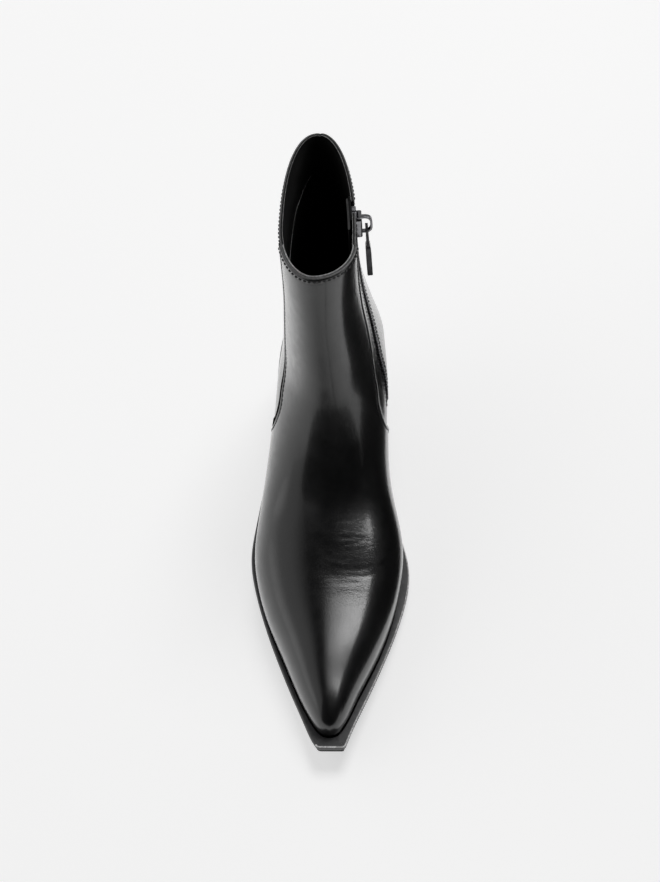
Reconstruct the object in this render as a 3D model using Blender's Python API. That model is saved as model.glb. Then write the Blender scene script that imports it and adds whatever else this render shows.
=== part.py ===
"""Cowboy ankle boot for the right foot: pointed toe, underslung heel, zip on the inner side.

The part stands on z = 0 with its toe along -Y and its inner side along +X, in metres.
Sizes below are millimetres. A point of the boot is (x, d, z): x towards the inner side,
d forward from the back of the heel, z up from the floor.
"""

import bmesh
import bpy
import numpy as np
from mathutils import Matrix, Vector

MM = 0.001
GAP = 0.3

# Sole heights along the boot
OUTSOLE_THICK = 4.2
WELT_THICK = 3.2
FOREFOOT_BACK, FOREFOOT_FRONT = 140.0, 176.0
TOE_END, TOE_SPRING = 279.0, 9.0
SEAT_FRONT, SEAT_FRONT_Z, SEAT_FRONT_SLOPE = 58.0, 41.0, -0.42
SEAT_BACK_Z, SEAT_BACK_SLOPE = 52.0, -0.06
TOE_RADIUS = ((TOE_END - FOREFOOT_FRONT) ** 2 + TOE_SPRING ** 2) / (2 * TOE_SPRING)

# Upper wall and panels
WALL = 2.4
PANEL_STEP = 0.9
SEAM_HALF_WIDTH = 0.25
HOOK_ROW, HOOK_TOP_ROW, HOOK_DEPTH = 10.25, 11.7, 0.30
EVEN_ROW = 8.0
HEEL_CORNER = 15
COLLAR_ROW = 20
COLLAR_Z = 208.0

# Zip on the inner side
SLOT_HALF = 4.2
SLOT_END_ROW = 10.8
TAPE_HALF, TAPE_THICK, TAPE_GAP = 8.5, 0.8, 0.6
TAPE_END_ROW, TAPE_TOP_ROW = 10.55, 19.98
TEETH_HALF, TEETH_TOP = 2.4, 0.5
TEETH_END_ROW, TEETH_TOP_ROW = 10.9, 19.96
GUARD_BACK, GUARD_FRONT, GUARD_THICK = -8.0, 14.0, 1.2
GUARD_END_ROW, GUARD_TOP_ROW = 11.0, 19.94
SLIDER_ROW, SLIDER_REACH, SLIDER_LENGTH = 19.6, 0.25, 15.0
PULL_LENGTH, PULL_THICK, PULL_LEAN = 38.5, 1.5, 1.0
PIVOT_DOWN, PIVOT_OUT = 3.4, 4.8

# Sole pieces
OUTSOLE_INSET, OUTSOLE_CHAMFER = 1.2, 0.8
WELT_BEVEL = 0.7
INSOLE_MARGIN, INSOLE_RISE, INSOLE_CHAMFER = 0.8, 1.2, 0.6
HEEL_FRONT_ROW = 11.0
HEEL_INSET = 1.8
HEEL_BASE_BACK, HEEL_BASE_FRONT, HEEL_BASE_WIDTH = 14.0, 50.0, 0.82
HEEL_LEVELS = 6

LATERAL, MEDIAL = -1, 1
ON_WELT = None

# One row for each section of the last, from the toe tip over the instep to the collar.
# Each section runs from its bottom point (on the welt, or on the back seam past the heel)
# to its top point; x shifts, half widths on both sides and the height of the widest place follow.
LAST_COLUMNS = (
    "top_d", "top_z", "top_x", "bot_d", "bot_z", "bot_x", "bot_lat", "bot_med",
    "max_lat", "max_med", "belly_lat", "belly_med", "crown", "seat_lat", "seat_med",
)
LAST = (
    (272.0, 21.5, 1.6, 272.0, ON_WELT, 1.6, 0.0, 0.0, 0.0, 0.0, 0.30, 0.30, 2.0, 2.0, 2.0),
    (270.7, 26.6, 1.5, 270.8, ON_WELT, 1.5, 3.9, 3.9, 4.3, 4.3, 0.30, 0.30, 2.0, 2.0, 2.0),
    (266.5, 30.6, 1.1, 266.8, ON_WELT, 1.1, 7.0, 7.3, 7.6, 7.8, 0.30, 0.30, 2.0, 2.0, 2.0),
    (258.5, 34.4, 0.2, 258.8, ON_WELT, 0.2, 10.3, 11.9, 11.1, 12.5, 0.30, 0.30, 2.0, 2.0, 2.0),
    (245.0, 38.2, -0.9, 245.0, ON_WELT, -0.9, 15.2, 18.2, 16.1, 18.9, 0.30, 0.30, 2.0, 2.0, 2.0),
    (223.0, 43.2, -1.2, 223.0, ON_WELT, -1.7, 22.6, 28.0, 23.8, 29.0, 0.30, 0.30, 2.05, 2.0, 2.0),
    (197.0, 48.8, -1.3, 196.0, ON_WELT, -1.7, 32.2, 36.4, 33.8, 37.8, 0.30, 0.30, 2.1, 2.0, 2.0),
    (171.0, 56.4, -1.2, 168.0, ON_WELT, -1.4, 38.2, 40.0, 40.2, 42.2, 0.32, 0.32, 2.1, 2.0, 2.0),
    (154.0, 64.2, -1.0, 142.0, ON_WELT, -1.0, 37.0, 36.8, 40.0, 40.4, 0.34, 0.34, 2.1, 2.0, 2.0),
    (142.5, 75.0, -1.0, 113.0, ON_WELT, -0.6, 32.4, 29.5, 36.6, 35.4, 0.38, 0.38, 2.1, 2.0, 2.0),
    (134.2, 88.0, -1.2, 83.0, ON_WELT, -0.3, 28.8, 26.0, 32.8, 33.8, 0.42, 0.42, 2.1, 2.0, 2.0),
    (128.2, 101.5, -1.5, 54.0, ON_WELT, 0.0, 28.0, 27.4, 30.6, 34.2, 0.42, 0.42, 2.1, 2.0, 2.0),
    (124.2, 112.5, -1.8, 30.0, ON_WELT, 0.0, 25.0, 26.0, 28.8, 33.8, 0.42, 0.42, 2.1, 2.0, 2.0),
    (121.7, 121.0, -2.0, 14.0, ON_WELT, 0.0, 18.4, 19.4, 27.2, 32.7, 0.40, 0.40, 2.1, 2.0, 2.0),
    (119.8, 128.0, -2.2, 6.0, ON_WELT, 0.0, 10.6, 11.2, 26.3, 32.1, 0.38, 0.39, 2.1, 2.05, 2.05),
    (118.2, 134.5, -2.5, 3.0, ON_WELT, 0.0, 0.0, 0.0, 25.8, 31.7, 0.37, 0.39, 2.1, 2.1, 2.1),
    (116.4, 142.0, -2.9, 1.6, 72.0, -0.4, 0.0, 0.0, 25.0, 29.6, 0.38, 0.45, 2.1, 2.15, 2.1),
    (114.2, 152.0, -3.3, 2.4, 92.0, -1.0, 0.0, 0.0, 23.6, 26.8, 0.42, 0.52, 2.1, 2.2, 2.1),
    (111.6, 166.0, -3.9, 6.0, 122.0, -1.8, 0.0, 0.0, 21.7, 23.8, 0.48, 0.61, 2.05, 2.3, 2.1),
    (108.6, 185.0, -4.6, 7.0, 162.0, -2.6, 0.0, 0.0, 20.6, 22.4, 0.56, 0.70, 2.0, 2.4, 2.05),
    (106.0, COLLAR_Z, -5.2, 5.0, COLLAR_Z, -3.2, 0.0, 0.0, 20.4, 22.6, 0.64, 0.77, 2.0, 2.45, 2.05),
)

# Columns that turn at the heel corner: how they mirror across the back seam and their slope there.
HEEL_TURN = {
    "bot_d": (1, 0.0), "bot_z": (1, 0.0), "bot_x": (1, 0.0), "bot_lat": (-1, 0.0), "bot_med": (-1, 0.0),
    "max_lat": (1, -0.25), "max_med": (1, -0.4),
}

# Outer edge of the welt in plan, one row for each section of the last from the toe corners back.
EDGE_COLUMNS = ("edge_d", "edge_lat", "edge_med")
EDGE = (
    (TOE_END, -5.2, 10.2),
    (271.5, -9.2, 12.5),
    (260.5, -13.4, 16.3),
    (246.0, -19.0, 21.9),
    (224.0, -27.1, 30.0),
    (197.0, -36.0, 38.9),
    (168.0, -43.3, 44.7),
    (143.0, -44.7, 41.4),
    (113.0, -39.4, 33.4),
    (83.0, -33.6, 29.6),
    (54.0, -31.0, 30.4),
    (29.0, -27.8, 28.8),
    (12.0, -20.8, 21.8),
    (3.4, -11.8, 12.4),
    (0.4, 0.0, 0.0),
)
EDGE_FIRST_ROW = 1
SNIP_MIDDLE_X = 2.5
CORNER_START_ROW, CORNER_END_ROW = 0.7, 1.25
LENGTH_MID = (TOE_END + EDGE[-1][0]) / 2

# Side views of the front panel's edge and of the zip's middle, from the collar down: (d, z) points.
SEAM_PATH = ((83, COLLAR_Z), (80.5, 170), (81.5, 138), (87.5, 114), (97.5, 100), (109, 88.5), (118, 79))
ZIP_PATH = ((57, COLLAR_Z), (59, 175), (64, 140), (71, 112), (79, 90), (86, 72), (89, 62))


# Curves
def natural_spline(knots, values, flat_start=False):
    """A function that runs smoothly through the values at the knots, level at its start if asked."""
    knots = np.asarray(knots, float)
    values = np.asarray(values, float)
    count = len(knots)
    steps = np.diff(knots)
    slopes = np.diff(values) / steps
    matrix = np.eye(count)
    right = np.zeros(count)
    for i in range(1, count - 1):
        matrix[i, i - 1:i + 2] = steps[i - 1], 2 * (steps[i - 1] + steps[i]), steps[i]
        right[i] = 6 * (slopes[i] - slopes[i - 1])
    if flat_start:
        matrix[0, :2] = 2 * steps[0], steps[0]
        right[0] = 6 * slopes[0]
    bends = np.linalg.solve(matrix, right)

    def value(at):
        i = int(np.clip(np.searchsorted(knots, at, side="right") - 1, 0, count - 2))
        before = (knots[i + 1] - at) / steps[i]
        after = 1 - before
        bend = (before ** 3 - before) * bends[i] + (after ** 3 - after) * bends[i + 1]
        return before * values[i] + after * values[i + 1] + bend * steps[i] ** 2 / 6

    return value


def hermite(d, start, end):
    """Height at d of a cubic between two (d, z, slope) ends."""
    span = end[0] - start[0]
    t = (d - start[0]) / span
    rise = (3 - 2 * t) * t ** 2
    bend = t * (1 - t) * span * ((1 - t) * start[2] - t * end[2])
    return start[1] + (end[1] - start[1]) * rise + bend


def smooth_step(low, high, value):
    t = np.clip((value - low) / (high - low), 0, 1)
    return t * t * (3 - 2 * t)


def bottom_z(d):
    """Underside of the outsole: heel seat, waist, flat tread and toe spring."""
    if d >= FOREFOOT_FRONT:
        return TOE_RADIUS - np.sqrt(TOE_RADIUS ** 2 - (d - FOREFOOT_FRONT) ** 2)
    if d >= FOREFOOT_BACK:
        return 0.0
    seat_front = (SEAT_FRONT, SEAT_FRONT_Z, SEAT_FRONT_SLOPE)
    if d >= SEAT_FRONT:
        return hermite(d, seat_front, (FOREFOOT_BACK, 0.0, 0.0))
    return hermite(d, (0.0, SEAT_BACK_Z, SEAT_BACK_SLOPE), seat_front)


def welt_bottom_z(d):
    return bottom_z(d) + OUTSOLE_THICK + GAP


def feather_z(d):
    """Height of the upper's lower edge, just above the welt."""
    return welt_bottom_z(d) + WELT_THICK + GAP


# Surface of the last
def joined(front, back):
    """One curve up to the heel corner and another past it."""
    return lambda row: front(row) if row < HEEL_CORNER else back(row)


def last_curves():
    """Each column of the last as a smooth function of its row; some columns turn at the heel corner."""
    curves = {}
    rows = list(range(len(LAST)))
    for index, column in enumerate(LAST_COLUMNS):
        values = [row[index] for row in LAST]
        if column == "bot_z":
            values = [feather_z(row[3]) if z is ON_WELT else z for z, row in zip(values, LAST)]
        flat_start = column in ("top_d", "bot_d")
        if column in HEEL_TURN:
            sign, slope = HEEL_TURN[column]
            past = range(1, len(rows) - HEEL_CORNER)
            mirrored = [sign * values[HEEL_CORNER - step] + 2 * step * slope for step in past]
            front = natural_spline(rows, values[:HEEL_CORNER + 1] + mirrored, flat_start)
            back = natural_spline(rows[HEEL_CORNER:], values[HEEL_CORNER:])
            curves[column] = joined(front, back)
        else:
            curves[column] = natural_spline(rows, values, flat_start)
    return curves


LAST_CURVE = last_curves()
DENSE = 48
EASE_ROWS, SECTION_STEPS = 2.2, 40


def plain_section(row, side):
    """Points of one side of a section, from its bottom over its widest place to its top."""
    at = {column: float(curve(row)) for column, curve in LAST_CURVE.items()}
    name = "lat" if side == LATERAL else "med"
    widest = max(at["max_" + name], 1e-6)
    bottom = 0.0 if row >= HEEL_CORNER else np.clip(at["bot_" + name], 0.0, 0.9995 * widest)
    belly = at["belly_" + name]
    seat = at["seat_" + name]
    start = np.arccos((bottom / widest) ** (seat / 2))
    low = np.linspace(start, 0, DENSE)
    low_share = belly * (1 - (np.sin(low) / np.sin(start)) ** (2 / seat))
    low_width = widest * np.maximum(np.cos(low), 0) ** (2 / seat)
    high = np.linspace(0, np.pi / 2, DENSE)[1:]
    high_share = belly + (1 - belly) * np.sin(high) ** (2 / at["crown"])
    high_width = widest * np.maximum(np.cos(high), 0) ** (2 / at["crown"])
    share = np.append(low_share, high_share)
    width = np.append(low_width, high_width)
    bottom_point = np.array([at["bot_x"], at["bot_d"], at["bot_z"]])
    top_point = np.array([at["top_x"], at["top_d"], at["top_z"]])
    points = bottom_point + share[:, None] * (top_point - bottom_point)
    points[:, 0] += side * width
    return points


def eased_section(row, side):
    """A section drawn towards its neighbours near the heel corner, so that the counter stays round."""
    points = plain_section(row, side)
    ease = EASE_ROWS * smooth_step(12.0, 14.4, row) * (1 - smooth_step(16.0, 18.6, row))
    if ease == 0:
        return points
    steps = np.linspace(-1, 1, 9)
    weights = (1 - steps ** 2) ** 2
    near = sum(weight * plain_section(row + step * ease, side) for step, weight in zip(steps, weights))
    number = np.arange(len(points))
    share = smooth_step(0, 20, number) * (1 - smooth_step(80, 94, number))
    return points + share[:, None] * (near / weights.sum() - points)


SECTIONS = {
    side: np.array([
        eased_section(row, side) for row in np.linspace(0, COLLAR_ROW, COLLAR_ROW * SECTION_STEPS + 1)
    ])
    for side in (LATERAL, MEDIAL)
}


def side_curve(row, side):
    """Points of one side of the section at any row."""
    at = np.clip(row, 0, COLLAR_ROW) * SECTION_STEPS
    low = min(int(at), COLLAR_ROW * SECTION_STEPS - 1)
    return (1 - at + low) * SECTIONS[side][low] + (at - low) * SECTIONS[side][low + 1]


def reach_along(points):
    lengths = np.linalg.norm(np.diff(points, axis=0), axis=1)
    return np.append(0, np.cumsum(lengths))


def along(points, fractions):
    """Points at the given shares of a polyline's length."""
    reach = reach_along(points)
    reach /= max(reach[-1], 1e-9)
    return np.stack([np.interp(fractions, reach, points[:, axis]) for axis in range(3)], axis=-1)


def last_frame(row, side, fraction):
    """Point of the last, the directions along it (down the boot and round it) and the outward normal."""
    row_step, share_step = 0.03, 0.004
    low_row, high_row = max(row - row_step, 0), min(row + row_step, COLLAR_ROW)
    shares = np.array([fraction - share_step, fraction, fraction + share_step])
    here = along(side_curve(row, side), shares)
    above = along(side_curve(high_row, side), [fraction])[0]
    below = along(side_curve(low_row, side), [fraction])[0]
    down = below - above
    around = (here[2] - here[0]) / (2 * share_step)
    normal = side * np.cross(down, around)
    return here[1], down / np.linalg.norm(down), around, normal / np.linalg.norm(normal)


def side_place(d, z, side):
    """Section row and share of the side's length where the last's side shows (d, z) from the side."""
    target = np.array([d, z])

    def miss(row, share):
        return along(side_curve(row, side), [share])[0, 1:] - target

    rows, shares = np.arange(EVEN_ROW, COLLAR_ROW + 0.1, 0.5), np.arange(0.05, 1, 0.1)
    starts = [(row, share) for row in rows for share in shares]
    row, share = min(starts, key=lambda start: np.linalg.norm(miss(*start)))
    for _ in range(8):
        by_row = (miss(row + 0.02, share) - miss(row - 0.02, share)) / 0.04
        by_share = (miss(row, share + 0.01) - miss(row, share - 0.01)) / 0.02
        step = np.linalg.lstsq(np.stack([by_row, by_share], axis=1), -miss(row, share), rcond=None)[0]
        row = float(np.clip(row + step[0], EVEN_ROW, COLLAR_ROW - 0.02))
        share = float(np.clip(share + step[1], 0.011, 0.989))
    return row, share


def path_fraction(path, side):
    """The share of a side's length at which a smooth path crosses each section row."""
    knots = reach_along(np.array(path, float))
    by_d = natural_spline(knots, [d for d, _ in path])
    by_z = natural_spline(knots, [z for _, z in path])
    places = [side_place(by_d(at), by_z(at), side) for at in np.linspace(0, knots[-1], 22)]
    places.sort()
    curve = natural_spline([row for row, _ in places], [share for _, share in places])
    first_row = places[0][0]
    return lambda row: float(curve(max(row, first_row)))


zip_fraction = path_fraction(ZIP_PATH, MEDIAL)
seam_line = {side: path_fraction(SEAM_PATH, side) for side in (LATERAL, MEDIAL)}


def zip_point(row, across, depth):
    """Point on the zip's band: across from its middle (forward is positive), depth below the last."""
    middle = zip_fraction(row)
    around = last_frame(row, MEDIAL, middle)[2]
    share = middle + across / np.linalg.norm(around)
    point, _, _, normal = last_frame(row, MEDIAL, share)
    return point - depth * normal


# Meshes
def finish(name, colour, roughness, metallic=0.0):
    material = bpy.data.materials.new(name)
    material.use_nodes = True
    shader = material.node_tree.nodes["Principled BSDF"]
    shader.inputs["Base Color"].default_value = (*colour, 1.0)
    shader.inputs["Roughness"].default_value = roughness
    shader.inputs["Metallic"].default_value = metallic
    return material


def world(point):
    """A boot point in metres."""
    return Vector((point[0] * MM, (LENGTH_MID - point[1]) * MM, point[2] * MM))


def closed_object(name, points, faces, material, origin=Vector()):
    """An object of one closed body, its points in world metres and its origin where given."""
    mesh = bpy.data.meshes.new(name)
    mesh.from_pydata([point - origin for point in points], [], faces)
    shape = bmesh.new()
    shape.from_mesh(mesh)
    loose = [vertex for vertex in shape.verts if not vertex.link_faces]
    bmesh.ops.delete(shape, geom=loose, context="VERTS")
    bmesh.ops.recalc_face_normals(shape, faces=shape.faces)
    if shape.calc_volume(signed=True) < 0:
        bmesh.ops.reverse_faces(shape, faces=shape.faces)
    shape.to_mesh(mesh)
    shape.free()
    mesh.shade_smooth()
    mesh.set_sharp_from_angle(angle=np.radians(35))
    mesh.materials.append(material)
    part = bpy.data.objects.new(name, mesh)
    part.location = origin
    bpy.context.scene.collection.objects.link(part)
    return part


def walled_sheet(front, back, keep, ids=None):
    """Points and faces of a two-sided sheet: the kept cells of a grid, walled along every free edge."""
    rows, columns = front.shape[:2]
    if ids is None:
        ids = np.arange(rows * columns).reshape(rows, columns)
    other = rows * columns
    faces = []
    edges = {}
    for i, j in zip(*np.nonzero(keep)):
        corners = [int(ids[i, j]), int(ids[i, j + 1]), int(ids[i + 1, j + 1]), int(ids[i + 1, j])]
        faces.append(corners)
        faces.append([corner + other for corner in reversed(corners)])
        for start, end in zip(corners, corners[1:] + corners[:1]):
            edges.setdefault(frozenset((start, end)), []).append((start, end))
    for used in edges.values():
        if len(used) == 1:
            start, end = used[0]
            faces.append([end, start, start + other, end + other])
    points = np.concatenate([front.reshape(-1, 3), back.reshape(-1, 3)])
    return points, faces


def sheet_object(name, front, back, keep, material, ids=None):
    points, faces = walled_sheet(front, back, keep, ids)
    return closed_object(name, [world(point) for point in points], faces, material)


# Upper
SIDE_MARKS = {LATERAL: (9, 1, 7), MEDIAL: (6, 1, 2, 1, 7)}
SIDE_COLUMNS = 17
SEAM_COLUMN = 9
SLOT_COLUMN = 6


def seam_fraction(row, side):
    """Where the front panel's edge crosses a section: down the side of the shaft, then a round hook."""
    turn = np.clip((HOOK_TOP_ROW - row) / (HOOK_TOP_ROW - HOOK_ROW), 0, 1)
    return seam_line[side](row) - HOOK_DEPTH * (1 - np.sqrt(1 - turn ** 2))


def column_fractions(row, side):
    """Shares of a side where the upper's columns run, following its seam and the zip."""
    even = np.linspace(0, 1, SIDE_COLUMNS + 1)
    pull = smooth_step(EVEN_ROW, HOOK_ROW, row)
    if pull == 0:
        return even
    side_length = np.linalg.norm(np.diff(side_curve(row, side), axis=0), axis=1).sum()
    seam = seam_fraction(row, side)
    seam_half = SEAM_HALF_WIDTH / side_length
    marks = [0, seam - seam_half, seam + seam_half, 1]
    if side == MEDIAL:
        middle = zip_fraction(row)
        slot_half = SLOT_HALF / side_length
        marks[1:1] = [middle - slot_half, middle + slot_half]
    runs = [
        np.linspace(low, high, count, endpoint=False)
        for low, high, count in zip(marks, marks[1:], SIDE_MARKS[side])
    ]
    fitted = np.append(np.concatenate(runs), 1)
    return even + pull * (fitted - even)


def upper_rows():
    """Section rows of the upper's grid, with a close pair where the quarter's lower edge steps."""
    pair = (HOOK_ROW - 0.02, HOOK_ROW + 0.02)
    bend = (10.4, SLOT_END_ROW, 11.2, HOOK_TOP_ROW)
    front = np.arange(0, 9.75, 0.5)
    back = np.arange(12, COLLAR_ROW + 0.25, 0.5)
    return np.concatenate([front, pair, bend, back])


def upper_grid(rows):
    sections = []
    for row in rows:
        lateral = along(side_curve(row, LATERAL), column_fractions(row, LATERAL))
        medial = along(side_curve(row, MEDIAL), column_fractions(row, MEDIAL))
        sections.append(np.concatenate([lateral, medial[-2::-1]]))
    return np.array(sections)


def upper_welds(rows):
    """Point numbers of the grid, shared where both sides meet at the toe tip and on the back seam."""
    columns = 2 * SIDE_COLUMNS + 1
    ids = np.arange(len(rows) * columns).reshape(len(rows), columns)
    ids[0, SIDE_COLUMNS + 1:] = ids[0, SIDE_COLUMNS - 1::-1]
    back_seam = rows >= HEEL_CORNER
    ids[back_seam, -1] = ids[back_seam, 0]
    return ids


def grid_normals(grid, ids):
    """Outward normals of the welded grid, the mean of the faces round each point."""
    flat = grid.reshape(-1, 3)
    first, second = ids[:-1, :-1].ravel(), ids[:-1, 1:].ravel()
    third, fourth = ids[1:, 1:].ravel(), ids[1:, :-1].ravel()
    across = np.cross(flat[third] - flat[first], flat[fourth] - flat[second])
    sums = np.zeros_like(flat)
    for corner in (first, second, third, fourth):
        np.add.at(sums, corner, across)
    normals = sums[ids]
    normals /= np.linalg.norm(normals, axis=-1, keepdims=True)
    ridge = normals[len(grid) // 3, SIDE_COLUMNS]
    return normals if ridge[2] > 0 else -normals


def level(normals):
    """Normals laid flat in plan."""
    flat = normals * (1, 1, 0)
    return flat / np.linalg.norm(flat, axis=-1, keepdims=True)


def make_upper(material):
    rows = upper_rows()
    grid = upper_grid(rows)
    ids = upper_welds(rows)
    normals = grid_normals(grid, ids)
    feather = rows <= HEEL_CORNER
    for column in (0, -1):
        normals[feather, column] = level(normals[feather, column])
    normals[-1] = level(normals[-1])
    column_numbers = np.arange(2 * SIDE_COLUMNS + 1)
    from_bottom = np.minimum(column_numbers, column_numbers[::-1])
    quarter = (rows > HOOK_ROW)[:, None] & (from_bottom <= SEAM_COLUMN)
    outer = grid - normals * np.where(quarter, PANEL_STEP, 0.0)[..., None]
    inner = grid - normals * WALL
    for sheet in (outer, inner):
        for column in (0, -1):
            sheet[feather, column, 2] = [feather_z(d) for d in sheet[feather, column, 1]]
    slot = 2 * SIDE_COLUMNS - 1 - SLOT_COLUMN
    keep = np.ones((len(rows) - 1, 2 * SIDE_COLUMNS), bool)
    keep[rows[:-1] >= SLOT_END_ROW, slot] = False
    return sheet_object("upper", outer, inner, keep, material, ids)


# Sole outlines: loops from the toe, back along the lateral side and forward along the medial side
SOLE_ROWS = np.concatenate([
    (0, 0.4), np.linspace(CORNER_START_ROW, CORNER_END_ROW, 5), (1.6,),
    np.arange(2, HEEL_CORNER + 0.25, 0.5),
])
EDGE_CURVE = {
    column: natural_spline(range(EDGE_FIRST_ROW, HEEL_CORNER + 1), [row[index] for row in EDGE])
    for index, column in enumerate(EDGE_COLUMNS)
}


def edge_point(row, side):
    """Welt edge in plan: the cut across the toe, a rounded corner, then the side."""
    name = "edge_lat" if side == LATERAL else "edge_med"

    def side_point(at):
        return np.array([EDGE_CURVE[name](at), EDGE_CURVE["edge_d"](at)])

    corner = side_point(EDGE_FIRST_ROW)
    middle = np.array([SNIP_MIDDLE_X, TOE_END])
    corner_start = middle + CORNER_START_ROW * (corner - middle)
    if row <= CORNER_START_ROW:
        return middle + row * (corner - middle)
    if row >= CORNER_END_ROW:
        return side_point(row)
    t = (row - CORNER_START_ROW) / (CORNER_END_ROW - CORNER_START_ROW)
    corner_end = side_point(CORNER_END_ROW)
    return (1 - t) ** 2 * corner_start + 2 * t * (1 - t) * corner + t ** 2 * corner_end


def feather_point(row, side):
    name = "bot_lat" if side == LATERAL else "bot_med"
    half = 0.0 if row >= HEEL_CORNER else max(float(LAST_CURVE[name](row)), 0.0)
    return np.array([LAST_CURVE["bot_x"](row) + side * half, LAST_CURVE["bot_d"](row)])


def plan_loop(point, rows):
    lateral = [point(row, LATERAL) for row in rows]
    medial = [point(row, MEDIAL) for row in rows[-2:0:-1]]
    return np.array(lateral + medial)


def inset(loop, amount):
    """The closed loop moved inwards in plan."""
    ahead = np.roll(loop, -1, axis=0) - np.roll(loop, 1, axis=0)
    inward = np.stack([-ahead[:, 1], ahead[:, 0]], axis=1)
    inward /= np.linalg.norm(inward, axis=1, keepdims=True)
    inside = np.sum((loop.mean(axis=0) - loop) * inward)
    return loop + np.sign(inside) * amount * inward


def at_height(loop, height):
    return np.array([(x, d, height(d)) for x, d in loop])


def band_faces(start, other, count):
    """Quads between two closed loops whose first points have the given numbers."""
    return [
        [start + i, start + (i + 1) % count, other + (i + 1) % count, other + i]
        for i in range(count)
    ]


def strip_faces(start, pairs):
    """Quads across a closed loop between its two sides, with a triangle at each single end point."""
    count = 2 * pairs
    faces = [[start, start + 1, start + count - 1]]
    for i in range(1, pairs - 1):
        faces.append([start + i, start + i + 1, start + count - i - 1, start + count - i])
    faces.append([start + pairs - 1, start + pairs, start + pairs + 1])
    return faces


def slab_object(name, loops, material):
    """A closed piece from loops stacked from its top to its bottom, capped at both ends."""
    count = len(loops[0])
    faces = strip_faces(0, count // 2) + strip_faces((len(loops) - 1) * count, count // 2)
    for i in range(len(loops) - 1):
        faces += band_faces(i * count, (i + 1) * count, count)
    points = np.concatenate(loops)
    return closed_object(name, [world(point) for point in points], faces, material)


def make_welt(material):
    edge = plan_loop(edge_point, SOLE_ROWS)
    hole = inset(plan_loop(feather_point, SOLE_ROWS), WALL)
    loops = [
        at_height(inset(edge, WELT_BEVEL), lambda d: welt_bottom_z(d) + WELT_THICK),
        at_height(edge, lambda d: welt_bottom_z(d) + WELT_THICK - WELT_BEVEL),
        at_height(edge, welt_bottom_z),
        at_height(hole, welt_bottom_z),
        at_height(hole, lambda d: welt_bottom_z(d) + WELT_THICK),
    ]
    count = len(edge)
    faces = []
    for i in range(len(loops)):
        faces += band_faces(i * count, (i + 1) % len(loops) * count, count)
    points = np.concatenate(loops)
    return closed_object("welt", [world(point) for point in points], faces, material)


def make_outsole(material):
    edge = inset(plan_loop(edge_point, SOLE_ROWS), OUTSOLE_INSET)
    tread = inset(edge, OUTSOLE_CHAMFER)
    loops = [
        at_height(edge, lambda d: bottom_z(d) + OUTSOLE_THICK),
        at_height(edge, lambda d: bottom_z(d) + OUTSOLE_CHAMFER),
        at_height(tread, bottom_z),
    ]
    return slab_object("outsole", loops, material)


def make_insole(material):
    edge = inset(plan_loop(feather_point, SOLE_ROWS), WALL + INSOLE_MARGIN)
    loops = [
        at_height(inset(edge, INSOLE_CHAMFER), lambda d: feather_z(d) + INSOLE_RISE),
        at_height(edge, lambda d: feather_z(d) + INSOLE_RISE - INSOLE_CHAMFER),
        at_height(edge, welt_bottom_z),
    ]
    return slab_object("insole", loops, material)


def make_heel(material):
    """Underslung block: its back leans forward and its sides draw in, down to a flat base."""
    rows = np.arange(HEEL_FRONT_ROW, HEEL_CORNER + 0.25, 0.5)
    seat = inset(plan_loop(edge_point, SOLE_ROWS), HEEL_INSET)
    numbers = [int(np.argmin(abs(SOLE_ROWS - row))) for row in rows]
    lateral = seat[numbers]
    medial = seat[[len(seat) - number for number in numbers[-2::-1]]]
    breast = (lateral[:1] + medial[-1:]) / 2
    top = np.concatenate([breast, lateral, medial])
    back, front = top[:, 1].min(), top[:, 1].max()
    shares = (top[:, 1] - back) / (front - back)
    base_d = HEEL_BASE_BACK + shares * (HEEL_BASE_FRONT - HEEL_BASE_BACK)
    base = np.stack([top[:, 0] * HEEL_BASE_WIDTH, base_d], axis=1)
    loops = []
    for drop in np.linspace(0, 1, HEEL_LEVELS):
        lean = np.sin(drop * np.pi / 2)
        plan = top + lean * (base - top)
        heights = [(1 - drop) * (bottom_z(d) - GAP) for d in top[:, 1]]
        loops.append(np.column_stack([plan, heights]))
    return slab_object("heel", loops, material)


# Zip
def zip_band(name, rows, acrosses, front_depth, back_depth, material):
    front = np.array([[zip_point(row, across, front_depth) for across in acrosses] for row in rows])
    back = np.array([[zip_point(row, across, back_depth) for across in acrosses] for row in rows])
    keep = np.ones((len(rows) - 1, len(acrosses) - 1), bool)
    return sheet_object(name, front, back, keep, material)


def make_zip_tape(material):
    rows = np.linspace(TAPE_END_ROW, TAPE_TOP_ROW, 22)
    acrosses = np.linspace(-TAPE_HALF, TAPE_HALF, 5)
    depth = WALL + TAPE_GAP
    return zip_band("zip_tape", rows, acrosses, depth, depth + TAPE_THICK, material)


def make_zip_teeth(material):
    rows = np.linspace(TEETH_END_ROW, TEETH_TOP_ROW, 34)
    acrosses = np.linspace(-TEETH_HALF, TEETH_HALF, 3)
    return zip_band("zip_teeth", rows, acrosses, TEETH_TOP, WALL + TAPE_GAP - GAP, material)


def make_zip_guard(material):
    rows = np.linspace(GUARD_END_ROW, GUARD_TOP_ROW, 20)
    acrosses = np.linspace(GUARD_BACK, GUARD_FRONT, 6)
    depth = WALL + TAPE_GAP + TAPE_THICK + GAP
    return zip_band("zip_guard", rows, acrosses, depth, depth + GUARD_THICK, material)


def slider_matrix():
    """Turns slider points (across, down, out), in millimetres, into world metres."""
    place = world(zip_point(SLIDER_ROW, 0, 0))
    above = world(zip_point(SLIDER_ROW + SLIDER_REACH, 0, 0))
    below = world(zip_point(SLIDER_ROW - SLIDER_REACH, 0, 0))
    outward = place - world(zip_point(SLIDER_ROW, 0, 1))
    down_axis = (below - above).normalized()
    across_axis = down_axis.cross(outward).normalized()
    out_axis = across_axis.cross(down_axis)
    turn = Matrix((across_axis, down_axis, out_axis)).transposed() * MM
    return Matrix.Translation(place) @ turn.to_4x4()


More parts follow.
